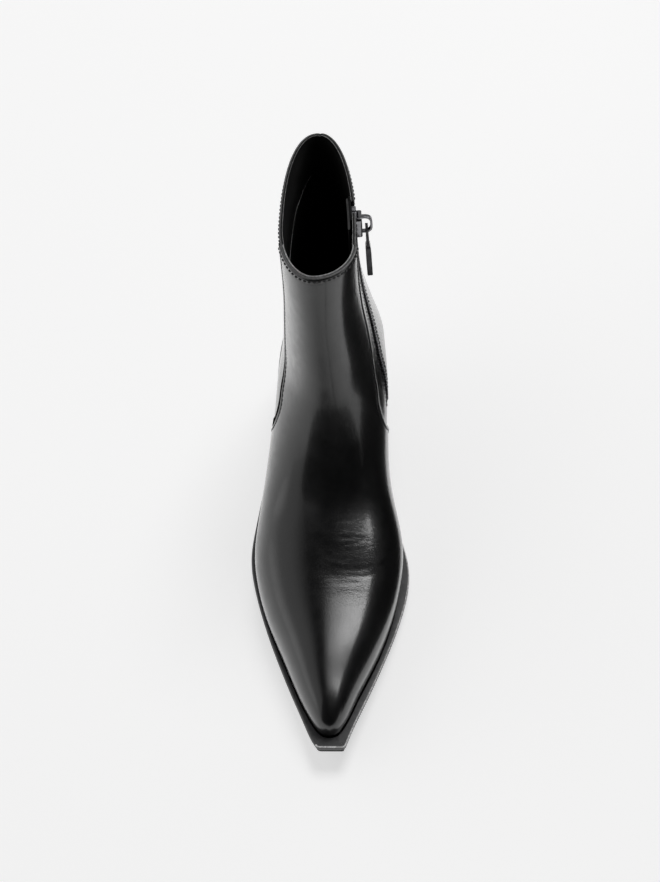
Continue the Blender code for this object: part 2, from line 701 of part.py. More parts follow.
def prism_object(name, outline, stations, frame, material):
    """Loft of a closed outline, widened by the factor of each (down, factor) station."""
    points = [
        frame @ Vector((across * factor, down, out))
        for down, factor in stations
        for across, out in outline
    ]
    count = len(outline)
    faces = [list(range(count)), list(range(len(points) - count, len(points)))]
    for i in range(len(stations) - 1):
        faces += band_faces(i * count, (i + 1) * count, count)
    return closed_object(name, points, faces, material)


CAP_LOW, CAP_HIGH = 0.5, 2.4
CAP_HALF, FLANGE_INNER, FLANGE_FOOT = 3.7, 2.8, -1.6
BAIL_HALF_WIDTH, BAIL_HALF_LENGTH, BAIL_TOP, BAIL_THICK = 1.2, 6.4, 8.0, 1.2


def make_zip_slider(frame, material):
    """A cap that straddles the teeth, with a bridge for the pull tab joined to it."""
    outline = [
        (-CAP_HALF, FLANGE_FOOT), (-FLANGE_INNER, FLANGE_FOOT), (-FLANGE_INNER, CAP_LOW),
        (FLANGE_INNER, CAP_LOW), (FLANGE_INNER, FLANGE_FOOT), (CAP_HALF, FLANGE_FOOT),
        (CAP_HALF, CAP_HIGH - 0.5), (CAP_HALF - 0.5, CAP_HIGH),
        (0.5 - CAP_HALF, CAP_HIGH), (-CAP_HALF, CAP_HIGH - 0.5),
    ]
    half = SLIDER_LENGTH / 2
    stations = [(-half, 0.94), (0.6 - half, 1.0), (0.0, 1.0), (half, 0.96)]
    slider = prism_object("zip_slider", outline, stations, frame, material)
    angles = np.linspace(0, np.pi, 11)
    foot = CAP_HIGH - 0.4
    points = []
    for angle in angles:
        for length, rise in (
            (BAIL_HALF_LENGTH, BAIL_TOP - foot),
            (BAIL_HALF_LENGTH - BAIL_THICK, BAIL_TOP - BAIL_THICK - foot),
        ):
            down = -np.sign(np.cos(angle)) * abs(np.cos(angle)) ** 0.6 * length
            out = foot + np.sin(angle) ** 0.6 * rise
            points += [frame @ Vector((side * BAIL_HALF_WIDTH, down, out)) for side in (-1, 1)]
    order = (0, 1, 3, 2)
    faces = [list(order), [len(points) - 4 + i for i in order]]
    for i in range(len(angles) - 1):
        for start, end in zip(order, order[1:] + order[:1]):
            faces.append([4 * i + start, 4 * i + end, 4 * i + 4 + end, 4 * i + 4 + start])
    bail = closed_object("bail_form", points, faces, material)
    bail.hide_render = True
    bail.display_type = "WIRE"
    join = slider.modifiers.new("bail", "BOOLEAN")
    join.operation = "UNION"
    join.object = bail
    return slider, bail


# Pull tab: distance below its cross bar's middle and half width there; its window clears the bridge.
PULL = (
    (-0.9, 2.8), (0.9, 2.8), (4.0, 2.7), (8.0, 2.6), (11.0, 2.3), (12.6, 2.0), (15.0, 2.5), (19.0, 2.7),
    (28.0, 2.7), (PULL_LENGTH - 2.6, 2.6), (PULL_LENGTH - 1.4, 2.2), (PULL_LENGTH - 0.9, 1.5),
)
PULL_WINDOW_HALF = 1.6
PULL_WINDOW_ROWS = (1, 4)


def pull_matrix(frame):
    """Turns pull tab points (across, down, out) from its hinge into world metres, with a slight lean."""
    lean = Matrix.Rotation(np.radians(PULL_LEAN), 4, "X")
    return frame @ Matrix.Translation((0, PIVOT_DOWN, PIVOT_OUT)) @ lean


def make_zip_pull(frame, material):
    place = pull_matrix(frame)
    sheets = []
    for out in (PULL_THICK / 2, -PULL_THICK / 2):
        sheet = []
        for down, half_width in PULL:
            inner = min(PULL_WINDOW_HALF, 0.75 * half_width)
            sheet.append([(across, down, out) for across in (-half_width, -inner, inner, half_width)])
        sheets.append(np.array(sheet))
    keep = np.ones((len(PULL) - 1, 3), bool)
    keep[PULL_WINDOW_ROWS[0]:PULL_WINDOW_ROWS[1], 1] = False
    points, faces = walled_sheet(*sheets, keep)
    pivot = place.translation
    return closed_object("zip_pull", [place @ Vector(point) for point in points], faces, material, pivot)


def clear_scene():
    for old in list(bpy.data.objects):
        bpy.data.objects.remove(old, do_unlink=True)


def main():
    clear_scene()
    leather = finish("upper_leather", (0.012, 0.012, 0.013), 0.28)
    welt_leather = finish("welt_leather", (0.05, 0.05, 0.052), 0.5)
    sole_leather = finish("sole_leather", (0.02, 0.02, 0.021), 0.6)
    heel_stack = finish("heel_stack", (0.015, 0.015, 0.016), 0.45)
    lining = finish("insole_leather", (0.01, 0.01, 0.01), 0.7)
    guard_leather = finish("guard_leather", (0.02, 0.02, 0.02), 0.6)
    tape_cloth = finish("zip_tape_cloth", (0.008, 0.008, 0.008), 0.85)
    teeth_metal = finish("zip_teeth_metal", (0.18, 0.18, 0.19), 0.35, 1.0)
    slider_metal = finish("zip_slider_metal", (0.3, 0.3, 0.31), 0.22, 1.0)
    pull_metal = finish("zip_pull_metal", (0.26, 0.26, 0.27), 0.25, 1.0)

    frame = slider_matrix()
    boot = bpy.data.objects.new("boot", None)
    bpy.context.scene.collection.objects.link(boot)
    parts = [
        make_upper(leather),
        make_welt(welt_leather),
        make_outsole(sole_leather),
        make_heel(heel_stack),
        make_insole(lining),
        make_zip_tape(tape_cloth),
        make_zip_teeth(teeth_metal),
        make_zip_guard(guard_leather),
        *make_zip_slider(frame, slider_metal),
        make_zip_pull(frame, pull_metal),
    ]
    for part in parts:
        part.parent = boot


main()
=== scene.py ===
"""Looks of a cowboy ankle boot for the right foot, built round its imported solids.

Sizes are millimetres unless a line says otherwise. A boot point is (x, d, z): x towards the inner
side, d forward from the back of the heel, z up from the floor.
"""

import bmesh
import bpy
import numpy as np
from mathutils import Matrix, Vector

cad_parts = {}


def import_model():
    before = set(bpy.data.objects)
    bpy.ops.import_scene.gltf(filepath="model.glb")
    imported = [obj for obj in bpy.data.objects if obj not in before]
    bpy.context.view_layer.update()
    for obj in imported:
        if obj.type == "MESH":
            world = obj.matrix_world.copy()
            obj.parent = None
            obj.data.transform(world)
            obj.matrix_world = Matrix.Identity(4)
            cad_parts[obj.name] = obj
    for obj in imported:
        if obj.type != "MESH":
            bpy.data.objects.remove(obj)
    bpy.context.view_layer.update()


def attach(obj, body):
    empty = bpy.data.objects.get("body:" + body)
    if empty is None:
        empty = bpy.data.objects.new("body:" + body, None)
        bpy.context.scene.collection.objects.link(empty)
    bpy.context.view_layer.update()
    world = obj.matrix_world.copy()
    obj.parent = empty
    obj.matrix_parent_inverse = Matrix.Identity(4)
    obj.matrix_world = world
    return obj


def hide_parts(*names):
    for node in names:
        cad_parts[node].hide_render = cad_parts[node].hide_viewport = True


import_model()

MM = 0.001
GAP = 0.3

# Sole heights along the boot
OUTSOLE_THICK = 4.2
WELT_THICK = 3.2
FOREFOOT_BACK, FOREFOOT_FRONT = 140.0, 176.0
TOE_END, TOE_SPRING = 279.0, 9.0
SEAT_FRONT, SEAT_FRONT_Z, SEAT_FRONT_SLOPE = 58.0, 41.0, -0.42
SEAT_BACK_Z, SEAT_BACK_SLOPE = 52.0, -0.06
TOE_RADIUS = ((TOE_END - FOREFOOT_FRONT) ** 2 + TOE_SPRING ** 2) / (2 * TOE_SPRING)

# Upper wall and panels
WALL = 2.4
SKIN = 1.5
PANEL_STEP = 0.9
HOOK_ROW, HOOK_TOP_ROW, HOOK_DEPTH = 10.25, 11.7, 0.30
EVEN_ROW = 8.0
HEEL_CORNER = 15
COLLAR_ROW = 20
COLLAR_Z = 208.0

# Zip on the inner side
SLOT_HALF = 4.2
SLOT_END_ROW = 10.8
TAPE_HALF, TAPE_THICK, TAPE_GAP = 8.5, 0.8, 0.6
TAPE_END_ROW, TAPE_TOP_ROW = 10.55, 19.98
TEETH_TOP = 0.5
TEETH_END_ROW, TEETH_TOP_ROW = 10.9, 19.96
GUARD_BACK, GUARD_FRONT, GUARD_THICK = -8.0, 14.0, 1.2
GUARD_END_ROW, GUARD_TOP_ROW = 11.0, 19.94
SLIDER_ROW, SLIDER_REACH = 19.6, 0.25
PULL_LENGTH, PULL_LEAN = 38.5, 1.0
PIVOT_DOWN, PIVOT_OUT = 3.4, 4.8
CAP_LOW, CAP_HIGH = 0.5, 2.4
CAP_HALF, FLANGE_INNER, FLANGE_FOOT = 3.7, 2.8, -1.6
BAIL_HALF_WIDTH, BAIL_HALF_LENGTH, BAIL_TOP, BAIL_THICK = 1.2, 6.4, 8.0, 1.2

# Sole pieces
OUTSOLE_INSET = 1.2
INSOLE_MARGIN, INSOLE_RISE = 0.8, 1.2
HEEL_FRONT_ROW = 11.0
HEEL_INSET = 1.8
HEEL_BASE_BACK, HEEL_BASE_FRONT, HEEL_BASE_WIDTH = 14.0, 50.0, 0.82

LATERAL, MEDIAL = -1, 1
ON_WELT = None

# One row for each section of the last, from the toe tip over the instep to the collar.
LAST_COLUMNS = (
    "top_d", "top_z", "top_x", "bot_d", "bot_z", "bot_x", "bot_lat", "bot_med",
    "max_lat", "max_med", "belly_lat", "belly_med", "crown", "seat_lat", "seat_med",
)
LAST = (
    (272.0, 21.5, 1.6, 272.0, ON_WELT, 1.6, 0.0, 0.0, 0.0, 0.0, 0.30, 0.30, 2.0, 2.0, 2.0),
    (270.7, 26.6, 1.5, 270.8, ON_WELT, 1.5, 3.9, 3.9, 4.3, 4.3, 0.30, 0.30, 2.0, 2.0, 2.0),
    (266.5, 30.6, 1.1, 266.8, ON_WELT, 1.1, 7.0, 7.3, 7.6, 7.8, 0.30, 0.30, 2.0, 2.0, 2.0),
    (258.5, 34.8, 0.2, 258.8, ON_WELT, 0.2, 10.3, 11.9, 11.1, 12.5, 0.30, 0.30, 2.0, 2.0, 2.0),
    (245.0, 38.5, -0.9, 245.0, ON_WELT, -0.9, 15.2, 18.2, 16.1, 18.9, 0.30, 0.30, 2.0, 2.0, 2.0),
    (223.0, 43.4, -1.2, 223.0, ON_WELT, -1.7, 22.6, 28.0, 23.8, 29.0, 0.30, 0.30, 2.05, 2.0, 2.0),
    (197.0, 48.8, -1.3, 196.0, ON_WELT, -1.7, 32.2, 36.4, 33.8, 37.8, 0.30, 0.30, 2.1, 2.0, 2.0),
    (171.0, 57.6, -1.2, 168.0, ON_WELT, -1.4, 38.2, 40.0, 40.2, 42.2, 0.32, 0.32, 2.1, 2.0, 2.0),
    (154.0, 64.2, -1.0, 142.0, ON_WELT, -1.0, 37.0, 36.8, 40.0, 40.4, 0.34, 0.34, 2.1, 2.0, 2.0),
    (142.5, 75.0, -1.0, 113.0, ON_WELT, -0.6, 32.4, 29.5, 36.6, 35.4, 0.38, 0.38, 2.1, 2.0, 2.0),
    (134.2, 88.0, -1.2, 83.0, ON_WELT, -0.3, 28.8, 26.0, 32.8, 33.8, 0.42, 0.42, 2.1, 2.0, 2.0),
    (128.2, 101.5, -1.5, 54.0, ON_WELT, 0.0, 28.0, 27.4, 30.6, 34.2, 0.42, 0.42, 2.1, 2.0, 2.0),
    (124.2, 112.5, -1.8, 30.0, ON_WELT, 0.0, 25.0, 26.0, 28.8, 33.8, 0.42, 0.42, 2.1, 2.0, 2.0),
    (121.7, 121.0, -2.0, 14.0, ON_WELT, 0.0, 18.4, 19.4, 27.2, 32.7, 0.40, 0.40, 2.1, 2.0, 2.0),
    (119.8, 128.0, -2.2, 6.0, ON_WELT, 0.0, 10.6, 11.2, 26.3, 32.1, 0.38, 0.39, 2.1, 2.05, 2.05),
    (118.2, 134.5, -2.5, 3.0, ON_WELT, 0.0, 0.0, 0.0, 25.8, 31.7, 0.37, 0.39, 2.1, 2.1, 2.1),
    (116.4, 142.0, -2.9, 1.6, 72.0, -0.4, 0.0, 0.0, 25.0, 29.6, 0.38, 0.45, 2.1, 2.15, 2.1),
    (114.2, 152.0, -3.3, 2.4, 92.0, -1.0, 0.0, 0.0, 23.6, 26.8, 0.42, 0.52, 2.1, 2.2, 2.1),
    (111.6, 166.0, -3.9, 6.0, 122.0, -1.8, 0.0, 0.0, 21.7, 23.8, 0.48, 0.61, 2.05, 2.3, 2.1),
    (108.6, 185.0, -4.6, 7.0, 162.0, -2.6, 0.0, 0.0, 20.6, 22.4, 0.56, 0.70, 2.0, 2.4, 2.05),
    (106.0, COLLAR_Z, -5.2, 5.0, COLLAR_Z, -3.2, 0.0, 0.0, 20.4, 22.6, 0.64, 0.77, 2.0, 2.45, 2.05),
)

# Columns that turn at the heel corner: how they mirror across the back seam and their slope there.
HEEL_TURN = {
    "bot_d": (1, 0.0), "bot_z": (1, 0.0), "bot_x": (1, 0.0), "bot_lat": (-1, 0.0), "bot_med": (-1, 0.0),
    "max_lat": (1, -0.25), "max_med": (1, -0.4),
}

# Outer edge of the welt in plan, one row for each section of the last from the toe corners back.
EDGE_COLUMNS = ("edge_d", "edge_lat", "edge_med")
EDGE = (
    (TOE_END, -5.2, 10.2),
    (271.5, -9.2, 12.5),
    (260.5, -13.4, 16.3),
    (246.0, -19.0, 21.9),
    (224.0, -27.1, 30.0),
    (197.0, -36.0, 38.9),
    (168.0, -43.3, 44.7),
    (143.0, -44.7, 41.4),
    (113.0, -39.4, 33.4),
    (83.0, -33.6, 29.6),
    (54.0, -31.0, 30.4),
    (29.0, -27.8, 28.8),
    (12.0, -20.8, 21.8),
    (3.4, -11.8, 12.4),
    (0.4, 0.0, 0.0),
)
EDGE_FIRST_ROW = 1
SNIP_MIDDLE_X = 2.5
CORNER_START_ROW, CORNER_END_ROW = 0.7, 1.25
LENGTH_MID = (TOE_END + EDGE[-1][0]) / 2

# Side views of the front panel's edge and of the zip's middle, from the collar down: (d, z) points.
SEAM_PATH = ((83, COLLAR_Z), (80.5, 170), (81.5, 138), (87.5, 114), (97.5, 100), (109, 88.5), (118, 79))
ZIP_PATH = ((57, COLLAR_Z), (59, 175), (64, 140), (71, 112), (79, 90), (86, 72), (89, 62))

# Creases over the ball of the foot in plan: x and d of both ends, bow, half width and depth. The second
# is a broad swell.
CREASES = (
    (-8.0, 190.0, 34.0, 183.0, 1.6, 5.5, 0.36),
    (-10.0, 153.0, 44.0, 148.0, 0.0, 22.0, -1.7),
    (4.0, 171.0, 24.0, 168.2, 0.0, 1.1, 0.07),
    (5.0, 174.6, 23.0, 169.6, 0.0, 0.9, 0.06),
    (-23.0, 173.0, -10.0, 173.8, 0.3, 0.9, 0.05),
    (-23.0, 175.4, -10.0, 176.0, 0.3, 0.9, 0.04),
    (-2.0, 178.5, 14.0, 179.0, 3.0, 1.2, 0.05),
    (0.0, 184.0, 24.0, 182.8, 3.0, 1.1, 0.055),
    (8.0, 189.6, 27.0, 185.6, 1.6, 1.0, 0.05),
    (3.0, 194.0, 20.0, 191.0, 1.2, 1.1, 0.03),
    (5.0, 207.6, 22.0, 203.4, 0.8, 1.3, 0.02),
    (27.5, 182.0, 36.0, 170.4, 0.6, 0.9, 0.08),
    (0.0, 163.6, 17.0, 159.0, -0.4, 1.0, 0.03),
)
LINING_SEAM = ((9, 178), (13, 174.4), (18.5, 170), (26, 167), (31, 163), (38, 156), (48, 148), (60, 141))


# Curves
def natural_spline(knots, values, flat_start=False):
    """A function that runs smoothly through the values at the knots, level at its start if asked."""
    knots = np.asarray(knots, float)
    values = np.asarray(values, float)
    count = len(knots)
    steps = np.diff(knots)
    slopes = np.diff(values) / steps
    matrix = np.eye(count)
    right = np.zeros(count)
    for i in range(1, count - 1):
        matrix[i, i - 1:i + 2] = steps[i - 1], 2 * (steps[i - 1] + steps[i]), steps[i]
        right[i] = 6 * (slopes[i] - slopes[i - 1])
    if flat_start:
        matrix[0, :2] = 2 * steps[0], steps[0]
        right[0] = 6 * slopes[0]
    bends = np.linalg.solve(matrix, right)

    def value(at):
        i = int(np.clip(np.searchsorted(knots, at, side="right") - 1, 0, count - 2))
        before = (knots[i + 1] - at) / steps[i]
        after = 1 - before
        bend = (before ** 3 - before) * bends[i] + (after ** 3 - after) * bends[i + 1]
        return before * values[i] + after * values[i + 1] + bend * steps[i] ** 2 / 6

    return value


def hermite(d, start, end):
    """Height at d of a cubic between two (d, z, slope) ends."""
    span = end[0] - start[0]
    t = (d - start[0]) / span
    rise = (3 - 2 * t) * t ** 2
    bend = t * (1 - t) * span * ((1 - t) * start[2] - t * end[2])
    return start[1] + (end[1] - start[1]) * rise + bend


def smooth_step(low, high, value):
    t = np.clip((value - low) / (high - low), 0, 1)
    return t * t * (3 - 2 * t)


def bump(distance, half):
    """A soft hump of height one."""
    return np.exp(-(distance / half) ** 2)


def round_drop(distance, radius):
    """How far a rounded edge has dropped, as a share of its radius, at a distance inside the edge."""
    t = np.clip(distance / radius, 0, 1)
    return 1 - np.sqrt(1 - (1 - t) ** 2)


def bottom_z(d):
    """Underside of the outsole: heel seat, waist, flat tread and toe spring."""
    if d >= FOREFOOT_FRONT:
        return TOE_RADIUS - np.sqrt(TOE_RADIUS ** 2 - (d - FOREFOOT_FRONT) ** 2)
    if d >= FOREFOOT_BACK:
        return 0.0
    seat_front = (SEAT_FRONT, SEAT_FRONT_Z, SEAT_FRONT_SLOPE)
    if d >= SEAT_FRONT:
        return hermite(d, seat_front, (FOREFOOT_BACK, 0.0, 0.0))
    return hermite(d, (0.0, SEAT_BACK_Z, SEAT_BACK_SLOPE), seat_front)


def welt_bottom_z(d):
    return bottom_z(d) + OUTSOLE_THICK + GAP


def welt_top_z(d):
    return welt_bottom_z(d) + WELT_THICK


def feather_z(d):
    """Height of the upper's lower edge, just above the welt."""
    return welt_top_z(d) + GAP


# Surface of the last
def joined(front, back):
    """One curve up to the heel corner and another past it."""
    return lambda row: front(row) if row < HEEL_CORNER else back(row)


def last_curves():
    """Each column of the last as a smooth function of its row; some columns turn at the heel corner."""
    curves = {}
    rows = list(range(len(LAST)))
    for index, column in enumerate(LAST_COLUMNS):
        values = [row[index] for row in LAST]
        if column == "bot_z":
            values = [feather_z(row[3]) if z is ON_WELT else z for z, row in zip(values, LAST)]
        flat_start = column in ("top_d", "bot_d")
        if column in HEEL_TURN:
            sign, slope = HEEL_TURN[column]
            past = range(1, len(rows) - HEEL_CORNER)
            mirrored = [sign * values[HEEL_CORNER - step] + 2 * step * slope for step in past]
            front = natural_spline(rows, values[:HEEL_CORNER + 1] + mirrored, flat_start)
            back = natural_spline(rows[HEEL_CORNER:], values[HEEL_CORNER:])
            curves[column] = joined(front, back)
        else:
            curves[column] = natural_spline(rows, values, flat_start)
    return curves


LAST_CURVE = last_curves()
DENSE = 48
SECTION_STEPS = 40

# Rows over which the sections near the heel corner are eased, and the points of a section that take part
EASE_ROWS, EASE_START, EASE_END = 2.2, (12.0, 14.4), (16.0, 18.6)
EASE_FOOT, EASE_TOP = (0, 20), (80, 94)


def plain_section(row, side):
    """Points of one side of a section, from its bottom over its widest place to its top."""
    at = {column: float(curve(row)) for column, curve in LAST_CURVE.items()}
    name = "lat" if side == LATERAL else "med"
    widest = max(at["max_" + name], 1e-6)
    bottom = 0.0 if row >= HEEL_CORNER else np.clip(at["bot_" + name], 0.0, 0.9995 * widest)
    belly = at["belly_" + name]
    seat = at["seat_" + name]
    start = np.arccos((bottom / widest) ** (seat / 2))
    low = np.linspace(start, 0, DENSE)
    low_share = belly * (1 - (np.sin(low) / np.sin(start)) ** (2 / seat))
    low_width = widest * np.maximum(np.cos(low), 0) ** (2 / seat)
    high = np.linspace(0, np.pi / 2, DENSE)[1:]
    high_share = belly + (1 - belly) * np.sin(high) ** (2 / at["crown"])
    high_width = widest * np.maximum(np.cos(high), 0) ** (2 / at["crown"])
    share = np.append(low_share, high_share)
    width = np.append(low_width, high_width)
    bottom_point = np.array([at["bot_x"], at["bot_d"], at["bot_z"]])
    top_point = np.array([at["top_x"], at["top_d"], at["top_z"]])
    points = bottom_point + share[:, None] * (top_point - bottom_point)
    points[:, 0] += side * width
    return points


def eased_section(row, side):
    """A section drawn towards its neighbours near the heel corner, so that the counter stays round."""
    points = plain_section(row, side)
    ease = EASE_ROWS * smooth_step(*EASE_START, row) * (1 - smooth_step(*EASE_END, row))
    if ease == 0:
        return points
    steps = np.linspace(-1, 1, 9)
    weights = (1 - steps ** 2) ** 2
    near = sum(weight * plain_section(row + step * ease, side) for step, weight in zip(steps, weights))
    number = np.arange(len(points))
    share = smooth_step(*EASE_FOOT, number) * (1 - smooth_step(*EASE_TOP, number))
    return points + share[:, None] * (near / weights.sum() - points)


SECTIONS = {
    side: np.array([
        eased_section(row, side) for row in np.linspace(0, COLLAR_ROW, COLLAR_ROW * SECTION_STEPS + 1)
    ])
    for side in (LATERAL, MEDIAL)
}


def side_curve(row, side):
    """Points of one side of the section at any row."""
    at = np.clip(row, 0, COLLAR_ROW) * SECTION_STEPS
    low = min(int(at), COLLAR_ROW * SECTION_STEPS - 1)
    return (1 - at + low) * SECTIONS[side][low] + (at - low) * SECTIONS[side][low + 1]


def reach_along(points):
    lengths = np.linalg.norm(np.diff(points, axis=0), axis=1)
    return np.append(0, np.cumsum(lengths))


def along(points, shares):
    """Points at the given shares of a polyline's length."""
    reach = reach_along(points)
    reach /= max(reach[-1], 1e-9)
    return np.stack([np.interp(shares, reach, points[:, axis]) for axis in range(3)], axis=-1)


def last_frame(row, side, share):
    """Point of the last, the directions along it (down the boot and round it) and the outward normal."""
    row_step, share_step = 0.03, 0.004
    low_row, high_row = max(row - row_step, 0), min(row + row_step, COLLAR_ROW)
    here = along(side_curve(row, side), np.array([share - share_step, share, share + share_step]))
    above = along(side_curve(high_row, side), [share])[0]
    below = along(side_curve(low_row, side), [share])[0]
    down = below - above
    around = (here[2] - here[0]) / (2 * share_step)
    normal = side * np.cross(down, around)
    return here[1], down / np.linalg.norm(down), around, normal / np.linalg.norm(normal)


def side_place(d, z, side):
    """Section row and share of the side's length where the last's side shows (d, z) from the side."""
    target = np.array([d, z])

    def miss(row, share):
        return along(side_curve(row, side), [share])[0, 1:] - target

    rows, shares = np.arange(EVEN_ROW, COLLAR_ROW + 0.1, 0.5), np.arange(0.05, 1, 0.1)
    starts = [(row, share) for row in rows for share in shares]
    row, share = min(starts, key=lambda start: np.linalg.norm(miss(*start)))
    for _ in range(8):
        by_row = (miss(row + 0.02, share) - miss(row - 0.02, share)) / 0.04
        by_share = (miss(row, share + 0.01) - miss(row, share - 0.01)) / 0.02
        step = np.linalg.lstsq(np.stack([by_row, by_share], axis=1), -miss(row, share), rcond=None)[0]
        row = float(np.clip(row + step[0], EVEN_ROW, COLLAR_ROW - 0.02))
        share = float(np.clip(share + step[1], 0.011, 0.989))
    return row, share


def path_share(path, side):
    """The share of a side's length at which a smooth path crosses each section row."""
    knots = reach_along(np.array(path, float))
    by_d = natural_spline(knots, [d for d, _ in path])
    by_z = natural_spline(knots, [z for _, z in path])
    places = [side_place(by_d(at), by_z(at), side) for at in np.linspace(0, knots[-1], 22)]
    places.sort()
    curve = natural_spline([row for row, _ in places], [share for _, share in places])
    first_row = places[0][0]
    return lambda row: float(curve(max(row, first_row)))


zip_share = path_share(ZIP_PATH, MEDIAL)
seam_line = {side: path_share(SEAM_PATH, side) for side in (LATERAL, MEDIAL)}


def seam_share(row, side):
    """Where the front panel's edge crosses a section: down the side of the shaft, then a round hook."""
    turn = np.clip((HOOK_TOP_ROW - row) / (HOOK_TOP_ROW - HOOK_ROW), 0, 1)
    return seam_line[side](row) - HOOK_DEPTH * (1 - np.sqrt(1 - turn ** 2))


def zip_point(row, across, depth):
    """Point on the zip's band: across from its middle (forward is positive), depth below the last."""
    middle = zip_share(row)
    around = last_frame(row, MEDIAL, middle)[2]
    share = middle + across / np.linalg.norm(around)
    point, _, _, normal = last_frame(row, MEDIAL, share)
    return point - depth * normal


def side_length(row, side):
    return reach_along(side_curve(row, side))[-1]


# Meshes
def world(points):
    """Boot points in metres."""
    points = np.asarray(points, float).reshape(-1, 3)
    return np.column_stack([points[:, 0], LENGTH_MID - points[:, 1], points[:, 2]]) * MM


def mesh_piece(name, points, faces, material, node=None, body="boot", sharp=40):
    """A piece of the boot from points in metres; it rides on its body and may stand for a solid."""
    mesh = bpy.data.meshes.new(name)
    mesh.from_pydata([tuple(point) for point in points], [], faces)
    shape = bmesh.new()
    shape.from_mesh(mesh)
    loose = [vertex for vertex in shape.verts if not vertex.link_faces]
    bmesh.ops.delete(shape, geom=loose, context="VERTS")
    bmesh.ops.recalc_face_normals(shape, faces=shape.faces)
    if shape.calc_volume(signed=True) < 0:
        bmesh.ops.reverse_faces(shape, faces=shape.faces)
    shape.to_mesh(mesh)
    shape.free()
    mesh.shade_smooth()
    mesh.set_sharp_from_angle(angle=np.radians(sharp))
    mesh.materials.append(material)
    piece = bpy.data.objects.new(name, mesh)
    bpy.context.scene.collection.objects.link(piece)
    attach(piece, body)
    if node:
        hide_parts(node)
    return piece


def soften(piece, width, segments=3, angle=30):
    """Rounds the edges of a metal piece; width is in millimetres."""
    edge = piece.modifiers.new("edges", "BEVEL")
    edge.width = width * MM
    edge.segments = segments
    edge.limit_method = "ANGLE"
    edge.angle_limit = np.radians(angle)
    edge.harden_normals = False


def walled_sheet(front, back, keep=None, ids=None):
    """Points and faces of a two-sided sheet: the kept cells of a grid, walled along every free edge."""
    rows, columns = front.shape[:2]
    if keep is None:
        keep = np.ones((rows - 1, columns - 1), bool)
    if ids is None:
        ids = np.arange(rows * columns).reshape(rows, columns)
    other = rows * columns
    faces = []
    edges = {}
    for i, j in zip(*np.nonzero(keep)):
        corners = [int(ids[i, j]), int(ids[i, j + 1]), int(ids[i + 1, j + 1]), int(ids[i + 1, j])]
        corners = list(dict.fromkeys(corners))
        faces.append(corners)
        faces.append([corner + other for corner in reversed(corners)])
        for start, end in zip(corners, corners[1:] + corners[:1]):
            edges.setdefault(frozenset((start, end)), []).append((start, end))
    for used in edges.values():
        if len(used) == 1:
            start, end = used[0]
            faces.append([end, start, start + other, end + other])
    points = np.concatenate([front.reshape(-1, 3), back.reshape(-1, 3)])
    return points, faces


def tube(path, radius, sides=8):
    """Points and faces of a closed round cord along a path of points in any unit."""
    path = np.asarray(path, float)
    ahead = np.gradient(path, axis=0)
    ahead /= np.linalg.norm(ahead, axis=1, keepdims=True)
    helper = np.array([0.3, 0.2, 0.93])
    first = np.cross(ahead, helper)
    first /= np.linalg.norm(first, axis=1, keepdims=True)
    second = np.cross(ahead, first)
    points = []
    for centre, one, two in zip(path, first, second):
        for angle in np.arange(sides) * 2 * np.pi / sides:
            points.append(centre + radius * (np.cos(angle) * one + np.sin(angle) * two))
    return np.array(points), ring_faces(len(path), sides)


def band_faces(start, other, count):
    """Quads between two closed loops whose first points have the given numbers."""
    return [
        [start + i, start + (i + 1) % count, other + (i + 1) % count, other + i]
        for i in range(count)
    ]


def ring_faces(rings, count, start=0):
    """Faces of a closed body of rings of points, capped at both ends."""
    last = start + (rings - 1) * count
    faces = [list(range(start, start + count)), list(range(last, last + count))]
    for first in range(start, last, count):
        faces += band_faces(first, first + count, count)
    return faces


def cord_piece(name, path, radius, material):
    points, faces = tube(path, radius)
    mesh_piece(name, world(points), faces, material, sharp=80)


# Materials
def feed(tree, socket, value):
    """Links an output to a socket, or gives the socket a constant."""
    if isinstance(value, bpy.types.NodeSocket):
        tree.links.new(value, socket)
    else:
        socket.default_value = value


def add_node(tree, kind, output, *inputs, **values):
    """An output of a new node; inputs go in by order, values by name or as settings of the node."""
    node = tree.nodes.new(kind)
    for key, value in values.items():
        if key in node.inputs:
            feed(tree, node.inputs[key], value)
        else:
            setattr(node, key, value)
    for socket, value in zip(node.inputs, inputs):
        feed(tree, socket, value)
    return node.outputs[output]


def smooth_range(tree, value, low, high, to_low=0.0, to_high=1.0):
    limits = {"From Min": low, "From Max": high, "To Min": to_low, "To Max": to_high}
    return add_node(
        tree, "ShaderNodeMapRange", "Result", interpolation_type="SMOOTHSTEP", Value=value, **limits,
    )


